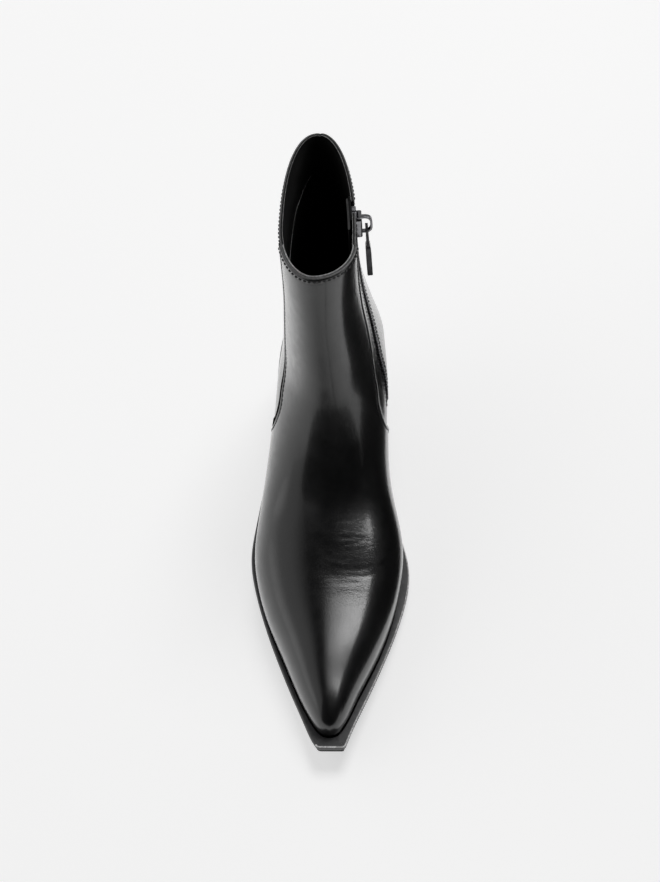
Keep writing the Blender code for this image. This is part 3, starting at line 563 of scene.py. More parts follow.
class Shader:
    """A Principled material with helpers that add texture nodes in object space."""

    def __init__(
        self, name, colour, roughness, metallic=0.0, coat=0.0, coat_roughness=0.1, specular=0.5,
    ):
        self.material = bpy.data.materials.new(name)
        self.material.use_nodes = True
        self.tree = self.material.node_tree
        self.shader = self.tree.nodes["Principled BSDF"]
        self.set("Base Color", (*colour, 1.0))
        self.set("Roughness", roughness)
        self.set("Metallic", metallic)
        self.set("Coat Weight", coat)
        self.set("Coat Roughness", coat_roughness)
        self.set("Specular IOR Level", specular)
        self.place = self.node("ShaderNodeTexCoord", "Object")
        self.normal = None

    def set(self, socket, value):
        feed(self.tree, self.shader.inputs[socket], value)

    def node(self, kind, output, *inputs, **values):
        return add_node(self.tree, kind, output, *inputs, **values)

    def noise(self, scale, detail=3.0, rough=0.5, distortion=0.0, stretch=None):
        place = self.place
        if stretch:
            place = self.node("ShaderNodeMapping", "Vector", Scale=stretch, Vector=place)
        return self.node(
            "ShaderNodeTexNoise", "Fac", Scale=scale, Detail=detail, Roughness=rough,
            Distortion=distortion, Vector=place,
        )

    def cells(self, scale):
        return self.node("ShaderNodeTexVoronoi", "Distance", Scale=scale, Vector=self.place)

    def wave(self, scale, direction, distortion):
        return self.node(
            "ShaderNodeTexWave", "Fac", Scale=scale, Distortion=distortion, bands_direction=direction,
            Vector=self.place,
        )

    def ranged(self, value, *limits):
        return smooth_range(self.tree, value, *limits)

    def times(self, first, second):
        return self.node("ShaderNodeMath", "Value", first, second, operation="MULTIPLY")

    def tint(self, amount, low, high):
        """Base colour that runs between two colours with an amount from 0 to 1."""
        colour = self.node(
            "ShaderNodeMix", "Result", data_type="RGBA", Factor=amount, A=(*low, 1.0), B=(*high, 1.0),
        )
        self.set("Base Color", colour)

    def roughen(self, amount, low, high):
        self.set("Roughness", self.ranged(amount, *SHEEN_SPAN, low, high))

    def relief(self, height, distance, strength):
        """Adds a bump of the given height in millimetres under those already there."""
        under = {"Normal": self.normal} if self.normal else {}
        self.normal = self.node(
            "ShaderNodeBump", "Normal", Strength=strength, Distance=distance * MM, Height=height,
            **under,
        )
        self.set("Normal", self.normal)
        self.set("Coat Normal", self.normal)


# Spans of a noise over which colour and sheen change
TINT_SPAN, SHEEN_SPAN = (0.3, 0.7), (0.25, 0.75)


def polished_leather():
    """Coated leather with fine grain, and wrinkles across the ball of the foot."""
    look = Shader(
        "polished_leather", (0.004, 0.004, 0.0045), 0.34, coat=0.9, coat_roughness=0.12, specular=0.3,
    )
    mottle = look.ranged(look.noise(55.0, 4.0), *TINT_SPAN)
    look.tint(mottle, (0.003, 0.003, 0.0034), (0.006, 0.006, 0.0065))
    look.roughen(look.noise(130.0, 5.0, 0.6), 0.28, 0.42)
    look.relief(look.ranged(look.cells(1500.0), 0.0, 0.55), 0.03, 0.6)
    look.relief(look.noise(420.0, 4.0, 0.62), 0.04, 0.4)
    forward = look.node("ShaderNodeSeparateXYZ", "Y", look.place)
    behind_ball = look.ranged(forward, -0.03, -0.012, 1.0, 0.0)
    ball = look.times(look.ranged(forward, -0.082, -0.045), behind_ball)
    wrinkles = look.noise(1.0, 3.0, 0.6, 0.6, stretch=(150, 620, 300))
    look.relief(look.times(ball, wrinkles), 0.12, 0.6)
    return look.material


def tape_cloth():
    look = Shader("tape_cloth", (0.008, 0.008, 0.008), 0.85, specular=0.25)
    weave = look.times(look.wave(520.0, "Z", 0.4), look.wave(700.0, "Y", 0.4))
    look.tint(weave, (0.004, 0.004, 0.004), (0.016, 0.016, 0.016))
    look.roughen(look.noise(300.0), 0.78, 0.92)
    look.relief(weave, 0.12, 0.6)
    return look.material


def grained(name, colour, roughness, tints, grain, patches, sheen, relief, height=None, **finish):
    """A material whose grain tints it and, unless another height is given, stands up from it."""
    look = Shader(name, colour, roughness, **finish)
    fibre = look.noise(*grain)
    look.tint(look.ranged(fibre, *TINT_SPAN), *tints)
    look.roughen(look.noise(*patches), *sheen)
    look.relief(height(look) if height else fibre, *relief)
    return look.material


# Edge leather in one grey shade; the same maker gives the painted shadow cords and the painted highlight
# cords.
def edge_or_painted_line(name, shade, coat=0.1, specular=0.5):
    return grained(
        name, (shade,) * 3, 0.5, ((0.6 * shade,) * 3, (1.4 * shade,) * 3), grain=(700.0, 4.0, 0.6),
        patches=(200.0,), sheen=(0.4, 0.6), relief=(0.05, 0.5), coat=coat, coat_roughness=0.3,
        specular=specular,
    )


def gunmetal(name, colour, roughness):
    tints = [[factor * channel for channel in colour] for factor in (0.72, 1.2)]
    return grained(
        name, colour, roughness, tints, grain=(260.0, 5.0, 0.65), patches=(700.0,),
        sheen=(0.8 * roughness, 1.35 * roughness), relief=(0.012, 0.5),
        height=lambda look: look.noise(500.0), metallic=1.0,
    )


LEATHER = polished_leather()
WELT = grained(
    "welt_leather", (0.045, 0.045, 0.047), 0.46, ((0.032, 0.032, 0.034), (0.06, 0.06, 0.062)),
    grain=(240.0, 5.0, 0.65), patches=(90.0, 4.0), sheen=(0.38, 0.56), relief=(0.05, 0.5),
    coat=0.15, coat_roughness=0.3,
)
SOLE = grained(
    "sole_leather", (0.02, 0.02, 0.021), 0.55, ((0.012, 0.012, 0.013), (0.032, 0.031, 0.03)),
    grain=(1.0, 5.0, 0.65, 0.0, (320, 90, 900)), patches=(70.0, 4.0), sheen=(0.45, 0.68),
    relief=(0.06, 0.5), coat=0.1, coat_roughness=0.3,
)
STACK = grained(
    "heel_stack", (0.014, 0.014, 0.015), 0.4, ((0.009, 0.009, 0.01), (0.022, 0.022, 0.022)),
    grain=(1.0, 4.0, 0.6, 0.0, (90, 90, 1400)), patches=(160.0, 4.0), sheen=(0.32, 0.5),
    relief=(0.05, 0.45), coat=0.3, coat_roughness=0.2,
)
LINING = grained(
    "lining_leather", (0.007, 0.007, 0.007), 0.72, ((0.004, 0.004, 0.004), (0.01, 0.01, 0.01)),
    grain=(900.0, 4.0, 0.65), patches=(80.0,), sheen=(0.62, 0.82), relief=(0.06, 0.5), specular=0.3,
)
CUT_EDGE = edge_or_painted_line("edge_or_painted_line", 0.075)
# Pale grey: on the collar's inner edge it is a painted highlight; it also colours the lining seam's
# cord.
PALE_EDGE = edge_or_painted_line("pale_edge_leather", 0.4)
# Matt black with no reflection: painted shadow, cords laid in the gap under the front panel's edge and
# in the crease beside the welt.
PAINTED_SHADOW_LINE = edge_or_painted_line("painted_shadow_line", 0.004, coat=0.0, specular=0.0)
# Pale grey: painted highlight along the welt's bevel, laid only on the inner side and round the toe.
PAINTED_HIGHLIGHT_LINE = edge_or_painted_line("painted_highlight_line", 0.7)
GUARD = grained(
    "guard_leather", (0.02, 0.02, 0.02), 0.55, ((0.012, 0.012, 0.012), (0.03, 0.03, 0.03)),
    grain=(160.0,), patches=(240.0,), sheen=(0.45, 0.65), relief=(0.05, 0.5),
    height=lambda look: look.cells(1100.0), specular=0.4,
)
TAPE = tape_cloth()
THREAD = grained(
    "thread", (0.03, 0.03, 0.031), 0.6, ((0.016, 0.016, 0.017), (0.055, 0.055, 0.057)),
    grain=(2600.0, 2.0), patches=(900.0,), sheen=(0.5, 0.7), relief=(0.05, 0.6), specular=0.4,
)
TEETH_METAL = gunmetal("teeth_metal", (0.22, 0.22, 0.23), 0.3)
SLIDER_METAL = gunmetal("slider_metal", (0.25, 0.25, 0.26), 0.14)
PULL_METAL = gunmetal("pull_metal", (0.06, 0.06, 0.063), 0.22)


# Upper: one closed skin whose outside has the panel's edge, rolled edges, stitch grooves and creases
SEAM_OFFSETS = np.array(
    (-4, -2.6, -1.6, -1.0, -0.7, -0.45, -0.2, 0, 0.12, 0.3, 0.55, 0.9, 1.5, 2.1, 2.5, 2.9, 4.0)
)
SLOT_OFFSETS = np.array((2.4, 1.4, 0.8, 0.4, 0.15, 0.0))
HEEL_CELLS, STRIP_CELLS, FRONT_CELLS = 20, 6, 28
BACK_CELLS = HEEL_CELLS + STRIP_CELLS + 2 * len(SLOT_OFFSETS) - 1
SIDE_CELLS = BACK_CELLS + len(SEAM_OFFSETS) - 1 + FRONT_CELLS
SLOT_CELL = HEEL_CELLS + len(SLOT_OFFSETS) - 1
STRIP_LEAST = 3.0
SEAM_ROUND, SEAM_STITCH = 0.8, 2.5
SLOT_ROUND, SLOT_STITCH = 0.9, 2.1
COLLAR_ROUND, COLLAR_STITCH = 0.9, 3.2
STRIP_TILT, LOW_STRIP_TILT, STRIP_MIDDLE = 0.22, 0.34, 2.6
STRIP_REACH, STRIP_LOWEST = 7.5, -0.35
STRIP_END_ROW, STRIP_LOW_ROW, STRIP_HIGH_ROW = 10.3, 11.5, 14.0
SKIN_PITCH, BALL_PITCH, LINING_PITCH = 1.9, 1.0, 4.5
BALL_ROWS = (6, 7, 8)
ROW_CLEARANCE = 0.012
SLOT_ROW_SHARE = 0.22

# Length of one section row at the hooks and at the collar
HOOK_ROW_LENGTH, COLLAR_ROW_LENGTH = 22, 36

# Relief of the skin along its lines: distance from the line, half width and height of each soft ridge
SEAM_RELIEF = ((1.15, 0.75, 0.3), (SEAM_STITCH, 0.42, -0.28), (-0.45, 0.45, -0.6))
SLOT_RELIEF = ((SLOT_STITCH, 0.4, -0.2),)
COLLAR_RELIEF = ((COLLAR_STITCH, 0.45, -0.2), (1.8, 0.9, 0.1))
BACK_SEAM_RELIEF = ((1.4, 0.8, 0.1), (0.0, 0.5, -0.4))
SLOT_DROP, COLLAR_DROP = 1.3, 0.8
BACK_SEAM_QUIET = 8.0

# Unevenness of the hide
WAVE_SEED, WAVES, WAVE_HEIGHT, WAVE_LENGTHS = 11, 9, 0.012, (16, 44)
BROAD_CREASE = 4.0


def side_shares(row, side):
    """Shares of a side where the skin's columns run, close together along its seam and the zip."""
    even = np.linspace(0, 1, SIDE_CELLS + 1)
    pull = smooth_step(EVEN_ROW, HOOK_ROW, row)
    if pull == 0:
        return even
    length = side_length(row, side)
    seam = seam_share(row, side) + SEAM_OFFSETS / length
    front = np.linspace(seam[-1], 1, FRONT_CELLS + 1)[1:]
    if side == LATERAL:
        back = np.linspace(0, seam[0], BACK_CELLS + 1)[:-1]
    else:
        half = SLOT_HALF / length
        middle = min(zip_share(row), seam[0] - half - (SLOT_OFFSETS[0] + STRIP_LEAST) / length)
        low = middle - half - SLOT_OFFSETS / length
        high = middle + half + SLOT_OFFSETS[::-1] / length
        heel = np.linspace(0, low[0], HEEL_CELLS + 1)[:-1]
        strip = np.linspace(high[-1], seam[0], STRIP_CELLS + 1)[1:-1]
        back = np.concatenate([heel, low, high, strip])
    fitted = np.concatenate([back, seam, front])
    return even + pull * (fitted - even)


def section_rows(pitch, ball_pitch, close):
    """Section rows at an even pitch, closer over the ball, with close rows where asked."""
    rows = [0.0]
    for start in range(COLLAR_ROW):
        spans = []
        for end in ("top", "bot"):
            ends = [[LAST_CURVE[end + axis](row) for axis in ("_d", "_z")] for row in (start, start + 1)]
            spans.append(np.linalg.norm(np.subtract(*ends)))
        step = ball_pitch if start in BALL_ROWS else pitch
        rows += list(np.linspace(start, start + 1, int(np.ceil(max(spans) / step)) + 1)[1:])
    rows = np.array(rows)
    clear = np.array([min(abs(row - near) for near in close) > ROW_CLEARANCE for row in rows])
    return np.sort(np.concatenate([rows[clear], close]))


HOOK_ROWS = HOOK_ROW + np.array(
    (-0.12, -0.09, -0.07, -0.045, -0.028, -0.015, -0.006, 0.0, 0.01, 0.03, 0.06)
)
SLOT_ROWS = SLOT_END_ROW - np.array((0.08, 0.045, 0.025, 0.012, 0.0))
COLLAR_ROWS = COLLAR_ROW - np.array((0.12, 0.1, 0.085, 0.065, 0.04, 0.024, 0.014, 0.006, 0.0))


def skin_grid(rows, shares):
    """Points, shares and lengths of each side, with one entry for each section row."""
    sides = {}
    for side in (LATERAL, MEDIAL):
        curves = [side_curve(row, side) for row in rows]
        parts = [shares(row, side) for row in rows]
        points = [along(curve, part) for curve, part in zip(curves, parts)]
        lengths = [reach_along(curve)[-1] for curve in curves]
        sides[side] = np.array(points), np.array(parts), np.array(lengths)
    return sides


def both(lateral, medial):
    """The two sides laid side by side, from the lateral bottom over the top to the medial bottom."""
    return np.concatenate([lateral, medial[:, -2::-1]], axis=1)


def weld_ids(rows, cells):
    """Point numbers of the grid, shared where both sides meet at the toe tip and on the back seam."""
    columns = 2 * cells + 1
    ids = np.arange(len(rows) * columns).reshape(len(rows), columns)
    if rows[0] == 0:
        ids[0, cells + 1:] = ids[0, cells - 1::-1]
    back_seam = rows >= HEEL_CORNER
    ids[back_seam, -1] = ids[back_seam, 0]
    return ids


def grid_normals(grid, ids):
    """Outward normals of the welded grid, the mean of the faces round each point."""
    flat = grid.reshape(-1, 3)
    first, second = ids[:-1, :-1].ravel(), ids[:-1, 1:].ravel()
    third, fourth = ids[1:, 1:].ravel(), ids[1:, :-1].ravel()
    across = np.cross(flat[third] - flat[first], flat[fourth] - flat[second])
    sums = np.zeros_like(flat)
    for corner in (first, second, third, fourth):
        np.add.at(sums, corner, across)
    normals = sums[ids]
    normals /= np.maximum(np.linalg.norm(normals, axis=-1, keepdims=True), 1e-12)
    ridge = normals[len(grid) // 3, grid.shape[1] // 2]
    return normals if ridge[2] > 0 else -normals


def level(normals):
    """Normals laid flat in plan."""
    flat = normals * (1, 1, 0)
    return flat / np.linalg.norm(flat, axis=-1, keepdims=True)


def crease_relief(points):
    """Height of the listed creases: a trough, with a soft ridge on each side of the narrow ones."""
    height = np.zeros(points.shape[:-1])
    for x0, d0, x1, d1, bow, half, depth in CREASES:
        span = np.array([x1 - x0, d1 - d0])
        length = np.linalg.norm(span)
        off = points[..., :2] - (x0, d0)
        share = off @ span / length ** 2
        away = (off[..., 1] * span[0] - off[..., 0] * span[1]) / length
        away = away - bow * 4 * share * (1 - share)
        fade = smooth_step(-0.05, 0.3, share) * (1 - smooth_step(0.7, 1.05, share))
        ridge = 0.5 if half < BROAD_CREASE else 0.0
        beside = bump(away - 1.9 * half, half) + bump(away + 1.9 * half, half)
        height += depth * fade * (ridge * beside - bump(away, half))
    return height


def hide_waves(points):
    """Slight unevenness of leather pulled over a last."""
    random = np.random.default_rng(WAVE_SEED)
    height = np.zeros(points.shape[:-1])
    for _ in range(WAVES):
        direction = random.normal(size=3)
        direction /= np.linalg.norm(direction)
        wavelength = random.uniform(*WAVE_LENGTHS)
        phase = random.uniform(0, 2 * np.pi)
        height += WAVE_HEIGHT * np.sin(points @ direction * 2 * np.pi / wavelength + phase)
    return height


def before_line(line, rows, side_data):
    """How far in front of a line down a side each of its points lies, round its section."""
    _, parts, lengths = side_data
    shares = np.array([line(row) for row in rows])
    return (parts - shares[:, None]) * lengths[:, None]


def panel_distance(rows, sides):
    """How far inside the front panel's edge each point lies, in millimetres; negative on the quarter."""
    out = []
    step = 0.05
    for side in (LATERAL, MEDIAL):
        down_shaft = before_line(lambda row: seam_share(row, side), rows, sides[side])
        hook_parts = side_shares(HOOK_ROW, side)
        low = along(side_curve(HOOK_ROW - step, side), hook_parts)
        high = along(side_curve(HOOK_ROW + step, side), hook_parts)
        pitch = np.linalg.norm(low - high, axis=1) / (2 * step)
        out.append(np.maximum(down_shaft, (HOOK_ROW - rows)[:, None] * pitch))
    return both(*out)


def slot_distance(rows, sides):
    """How far each point lies outside the zip's slot; large on the lateral side."""
    beside = abs(before_line(zip_share, rows, sides[MEDIAL])) - SLOT_HALF
    below = (SLOT_END_ROW - rows)[:, None] * SLOT_ROW_SHARE * side_length(SLOT_END_ROW, MEDIAL)
    outside = np.maximum(beside, below)
    return both(np.full_like(outside, 1e3), outside)


def zip_strip_tilt(rows, sides, panel):
    """Height of the strip between the seam and the zip, which leans back towards the zip."""
    in_front = smooth_step(-SLOT_HALF, SLOT_HALF, before_line(zip_share, rows, sides[MEDIAL]))
    in_front *= smooth_step(STRIP_END_ROW, STRIP_LOW_ROW, rows)[:, None]
    outside = np.clip(-panel, 0, STRIP_REACH)
    low = smooth_step(STRIP_HIGH_ROW, STRIP_LOW_ROW, rows)[:, None]
    slope = STRIP_TILT + (LOW_STRIP_TILT - STRIP_TILT) * low
    tilt = np.maximum(slope * (STRIP_MIDDLE - outside), STRIP_LOWEST) * smooth_step(0.0, 0.6, outside)
    return both(np.zeros_like(in_front), in_front) * tilt


def ridges(distance, relief):
    return sum(height * bump(distance - at, half) for at, half, height in relief)


def skin_relief(rows, sides, grid):
    """Height of the skin's outside over the last."""
    panel = panel_distance(rows, sides)
    slot = slot_distance(rows, sides)
    top = COLLAR_Z - grid[..., 2]
    from_back = both(*(parts * lengths[:, None] for _, parts, lengths in sides.values()))
    height = ridges(panel, SEAM_RELIEF) + ridges(slot, SLOT_RELIEF) + ridges(top, COLLAR_RELIEF)
    height -= PANEL_STEP * round_drop(panel, SEAM_ROUND) + SLOT_DROP * round_drop(slot, SLOT_ROUND)
    height -= COLLAR_DROP * round_drop(top, COLLAR_ROUND)
    height += np.where((rows >= HEEL_CORNER)[:, None], ridges(from_back, BACK_SEAM_RELIEF), 0)
    height += zip_strip_tilt(rows, sides, panel)
    quiet = smooth_step(0, BACK_SEAM_QUIET, from_back)
    return height + quiet * hide_waves(grid) + crease_relief(grid)


def sheet_base(rows, shares, cells):
    """Sides, grid, point numbers and normals; these lie flat along the feather line and the collar."""
    sides = skin_grid(rows, shares)
    grid = both(sides[LATERAL][0], sides[MEDIAL][0])
    ids = weld_ids(rows, cells)
    normals = grid_normals(grid, ids)
    feather = rows <= HEEL_CORNER
    for column in (0, -1):
        normals[feather, column] = level(normals[feather, column])
    normals[-1] = level(normals[-1])
    return sides, grid, ids, normals


def sheet_piece(name, rows, sheets, ids, slot_cell, material, node=None):
    """A piece from its outer and inner sheet, which end on the welt and leave the zip's slot open."""
    feather = rows <= HEEL_CORNER
    for sheet in sheets:
        for column in (0, -1):
            sheet[feather, column, 2] = [feather_z(d) for d in sheet[feather, column, 1]]
    cells = ids.shape[1] - 1
    keep = np.ones((len(rows) - 1, cells), bool)
    keep[rows[:-1] >= SLOT_END_ROW - 1e-6, cells - 1 - slot_cell] = False
    points, faces = walled_sheet(*sheets, keep, ids)
    mesh_piece(name, world(points), faces, material, node, sharp=50)


def make_skin():
    rows = section_rows(SKIN_PITCH, BALL_PITCH, np.concatenate([HOOK_ROWS, SLOT_ROWS, COLLAR_ROWS]))
    sides, grid, ids, normals = sheet_base(rows, side_shares, SIDE_CELLS)
    outer = grid + normals * skin_relief(rows, sides, grid)[..., None]
    inner = grid - normals * SKIN
    sheet_piece("upper_skin", rows, (outer, inner), ids, SLOT_CELL, LEATHER, "upper")


LINING_CELLS, LINING_SLOT, LINING_FIRST_ROW = 34, 15, 0.6
LINING_GAP, LINING_DEPTH, LINING_LOW = 0.12, WALL + 0.35, 0.25
LINING_ROUND, LINING_DROP = 0.7, 0.6


def lining_shares(row, side):
    """Columns of the lining, with the zip's slot on the medial side."""
    even = np.linspace(0, 1, LINING_CELLS + 1)
    if side == LATERAL or row < EVEN_ROW:
        return even
    length = side_length(row, side)
    middle, half = zip_share(row), SLOT_HALF / length
    heel = np.linspace(0, middle - half, LINING_SLOT + 1)
    front = np.linspace(middle + half, 1, LINING_CELLS - LINING_SLOT)
    pull = smooth_step(EVEN_ROW, HOOK_ROW, row)
    return even + pull * (np.concatenate([heel, front]) - even)


def make_lining():
    close_rows = np.concatenate([SLOT_ROWS[[-1]], COLLAR_ROWS[2:]])
    rows = section_rows(LINING_PITCH, LINING_PITCH, close_rows)
    rows = rows[rows > LINING_FIRST_ROW]
    _, grid, ids, normals = sheet_base(rows, lining_shares, LINING_CELLS)
    depth = LINING_DEPTH - LINING_DROP * round_drop(COLLAR_Z - grid[..., 2], LINING_ROUND)
    outer = grid - normals * (SKIN + LINING_GAP)
    inner = grid - normals * depth[..., None]
    for sheet in (outer, inner):
        sheet[-1, :, 2] -= LINING_LOW
    sheet_piece("lining", rows, (outer, inner), ids, LINING_SLOT, LINING)


# Collar edges from the outside in: (depth from the outside, height over the collar)
COLLAR_EDGE = (
    (0.05, -0.7), (0.15, -0.25), (0.4, 0.02), (0.8, 0.12), (1.3, 0.1), (1.6, -0.06), (1.72, -0.4),
)
# The inner band is pale grey, a painted highlight along the collar's inner edge.
COLLAR_HIGHLIGHT_BAND = (
    (1.78, -0.4), (1.86, 0.0), (2.05, 0.2), (2.3, 0.22), (2.52, 0.06), (2.62, -0.3), (2.64, -0.7),
)
COLLAR_FOOT = -0.9
NOTCH_DEPTH, NOTCH_HALF = 0.45, 0.7


def collar_path():
    """Places round the collar from the zip over the back seam and the front to the zip again."""
    middle, half = zip_share(COLLAR_ROW), SLOT_HALF / side_length(COLLAR_ROW, MEDIAL)
    shares = [(MEDIAL, share) for share in np.linspace(middle - half, 0, 90)]
    shares += [(LATERAL, share) for share in np.linspace(0, 1, 160)[1:]]
    shares += [(MEDIAL, share) for share in np.linspace(1, middle + half, 90)[1:]]
    return shares


def collar_ring(profile):
    """Front and back sheets of a ring that lies on the collar and notches at the back seam."""
    depths, heights = np.array(profile).T
    front, back = [], []
    for side, share in collar_path():
        curve = side_curve(COLLAR_ROW, side)
        length = side_length(COLLAR_ROW, side)
        ends = along(curve, [max(share - 0.004, 0), min(share + 0.004, 1)])
        ahead = (ends[1] - ends[0]) * (1, 1, 0)
        outward = side * np.cross(ahead / np.linalg.norm(ahead), (0, 0, 1))
        centre = along(curve, [share])[0] * (1, 1, 0) + (0, 0, COLLAR_Z)
        away = share * length
        step = PANEL_STEP * smooth_step(0.5, -0.5, away - seam_share(COLLAR_ROW, side) * length)
        ring = centre - outward * (depths + np.linspace(step, 0, len(profile)))[:, None]
        notch = NOTCH_DEPTH * bump(away, NOTCH_HALF)
        front.append(ring + np.outer(heights - notch, (0, 0, 1)))
        back.append(ring + (0, 0, COLLAR_FOOT))
    return np.array(front), np.array(back)


def make_collar_edges():
    for name, profile, material in (
        ("collar_edge", COLLAR_EDGE, CUT_EDGE), ("collar_inner_highlight", COLLAR_HIGHLIGHT_BAND, PALE_EDGE),
    ):
        points, faces = walled_sheet(*collar_ring(profile))
        mesh_piece(name, world(points), faces, material, sharp=50)


# Stitches
STITCH_SIDES = 6
STITCH_STATIONS = np.array((-1.0, -0.8, -0.35, 0.35, 0.8, 1.0))
STITCH_PITCH, STITCH_LENGTH = 2.7, 2.1
STITCH_RADIUS, COLLAR_STITCH_RADIUS = 0.3, 0.42
STITCH_LOOK = 0.8
STITCH_DEPTH, ZIP_STITCH_DEPTH, COLLAR_STITCH_LIFT = 0.2, 0.15, 0.1
COLLAR_STITCH_GAP = 3
LINING_SEAM_DEPTH, LINING_SEAM_RADIUS = WALL + 0.42, 0.28

# Lines down the seams start just below the collar, turn at the hook and end near the feather line
SEAM_TOP_ROW, STITCH_END_ROW, HOOK_END_SHARE = COLLAR_ROW - 0.12, HOOK_ROW + 0.02, 0.05
STITCH_TURN, LINE_TURN = 0.02, 0.03
SIDE_NAMES = {LATERAL: "lateral", MEDIAL: "medial"}

# Painted shadow behind each panel seam, a black cord in the gap under the panel's edge: distance behind
# it, radius and depth below the last
PANEL_SHADOW_LINES = {LATERAL: (3.4, 0.9, 0.9), MEDIAL: (0.5, 0.35, 1.15)}


def stitch_points(centre, ahead, out, radius):
    """Rings of one stitch that dips into the leather at both ends."""
    across = np.cross(out, ahead)
    rings = []
    for station in STITCH_STATIONS:
        size = radius * np.sqrt(max(1 - (0.97 * station) ** 2, 0.0)) + 0.02
        rise = radius * (0.55 - 1.1 * station ** 4)
        middle = centre + ahead * station * STITCH_LENGTH / 2 + out * rise
        for angle in np.arange(STITCH_SIDES) * 2 * np.pi / STITCH_SIDES:
            rings.append(middle + size * (np.cos(angle) * across + np.sin(angle) * out))
    return rings


def stitch_row(name, places, radius=STITCH_RADIUS):
    """Stitches at an even pitch along a path of (point, outward normal) places."""
    path, normals = np.array(places).swapaxes(0, 1)
    reach = reach_along(path)

    def between(values, at):
        return np.array([np.interp(at, reach, values[:, axis]) for axis in range(3)])

    points, faces = [], []
    for at in np.arange(STITCH_PITCH / 2, reach[-1] - STITCH_PITCH / 3, STITCH_PITCH):
        ahead = between(path, at + STITCH_LOOK) - between(path, at - STITCH_LOOK)
        ahead /= max(np.linalg.norm(ahead), 1e-9)
        out = between(normals, at)
        out -= ahead * (out @ ahead)
        out /= np.linalg.norm(out)
        faces += ring_faces(len(STITCH_STATIONS), STITCH_SIDES, len(points))
        points += stitch_points(between(path, at), ahead, out, radius)
    mesh_piece(name, world(points), faces, THREAD, sharp=60)


def on_last(row, side, share, height):
    point, _, _, normal = last_frame(row, side, share)
    return point + normal * height, normal


def seam_places(side, inside, height, end_row, turn):
    """Places down a panel seam and round its hook, at a distance inside the panel's edge."""
    places = []
    for row in np.linspace(SEAM_TOP_ROW, end_row, 110):
        share = seam_share(row, side) + inside / side_length(row, side)
        places.append(on_last(row, side, share, height))
    hook_row = HOOK_ROW - inside / HOOK_ROW_LENGTH
    for share in np.linspace(seam_share(HOOK_ROW, side) - turn, HOOK_END_SHARE, 24):
        places.append(on_last(hook_row, side, share, height))
    return places


def make_stitches():
    for side, name in SIDE_NAMES.items():
        places = seam_places(side, SEAM_STITCH, -STITCH_DEPTH, STITCH_END_ROW, STITCH_TURN)
        stitch_row("panel_stitches_" + name, places)
    row = COLLAR_ROW - COLLAR_STITCH / COLLAR_ROW_LENGTH
    middle = zip_share(row)
    gap = (SLOT_HALF + COLLAR_STITCH_GAP) / side_length(row, MEDIAL)
    places = []
    for side, start, end, count in (
        (MEDIAL, middle - gap, 0.002, 40),
        (LATERAL, 0.002, 0.998, 90),
        (MEDIAL, 0.998, middle + gap, 45),
    ):
        for share in np.linspace(start, end, count):
            step = PANEL_STEP if share < seam_share(row, side) else 0.0
            places.append(on_last(row, side, share, COLLAR_STITCH_LIFT - step))
    stitch_row("collar_stitches", places, COLLAR_STITCH_RADIUS)
    for name, sign in (("back", -1), ("front", 1)):
        places = []
        for row in np.linspace(COLLAR_ROW - 0.1, SLOT_END_ROW - 0.05, 110):
            share = zip_share(row) + sign * (SLOT_HALF + SLOT_STITCH) / side_length(row, MEDIAL)
            places.append(on_last(row, MEDIAL, share, -PANEL_STEP - ZIP_STITCH_DEPTH))
        stitch_row("zip_stitches_" + name, places)


def make_panel_shadow_lines():
    """Painted shadow under the front panel's folded edge: a black cord along both seams and round their
    hooks.
    """
    for side, (behind, radius, depth) in PANEL_SHADOW_LINES.items():
        end_row = HOOK_ROW + behind / HOOK_ROW_LENGTH
        places = seam_places(side, -behind, -depth, end_row, LINE_TURN)
        path = [point for point, _ in places]
        cord_piece("panel_shadow_line_" + SIDE_NAMES[side], path, radius, PAINTED_SHADOW_LINE)


def make_lining_seam():
    rows, shares = np.array([side_place(d, z, LATERAL) for d, z in LINING_SEAM]).T
    knots, steps = np.linspace(0, 1, len(rows)), np.linspace(0, 1, 60)
    places = zip(np.interp(steps, knots, rows), np.interp(steps, knots, shares))
    path = [on_last(row, LATERAL, share, -LINING_SEAM_DEPTH)[0] for row, share in places]
    cord_piece("lining_seam", path, LINING_SEAM_RADIUS, PALE_EDGE)


# Soles
SOLE_ROWS = np.concatenate([
    (0, 0.2, 0.45), np.linspace(CORNER_START_ROW, CORNER_END_ROW, 10), (1.4, 1.6, 1.8),
    np.arange(2, HEEL_CORNER + 0.05, 0.1),
])
EDGE_CURVE = {
    column: natural_spline(range(EDGE_FIRST_ROW, HEEL_CORNER + 1), [row[index] for row in EDGE])
    for index, column in enumerate(EDGE_COLUMNS)
}


def edge_point(row, side):
    """Welt edge in plan: the cut across the toe, a rounded corner, then the side."""
    name = "edge_lat" if side == LATERAL else "edge_med"

    def side_point(at):
        return np.array([EDGE_CURVE[name](at), EDGE_CURVE["edge_d"](at)])

    corner = side_point(EDGE_FIRST_ROW)
    middle = np.array([SNIP_MIDDLE_X, TOE_END])
    corner_start = middle + CORNER_START_ROW * (corner - middle)
    if row <= CORNER_START_ROW:
        return middle + row * (corner - middle)
    if row >= CORNER_END_ROW:
        return side_point(row)
    t = (row - CORNER_START_ROW) / (CORNER_END_ROW - CORNER_START_ROW)
    corner_end = side_point(CORNER_END_ROW)
    return (1 - t) ** 2 * corner_start + 2 * t * (1 - t) * corner + t ** 2 * corner_end


def feather_point(row, side):
    name = "bot_lat" if side == LATERAL else "bot_med"
    half = 0.0 if row >= HEEL_CORNER else max(float(LAST_CURVE[name](row)), 0.0)
    return np.array([LAST_CURVE["bot_x"](row) + side * half, LAST_CURVE["bot_d"](row)])


def plan_loop(point):
    lateral = [point(row, LATERAL) for row in SOLE_ROWS]
    medial = [point(row, MEDIAL) for row in SOLE_ROWS[-2:0:-1]]
    return np.array(lateral + medial)


EDGE_LOOP, FEATHER_LOOP = plan_loop(edge_point), plan_loop(feather_point)


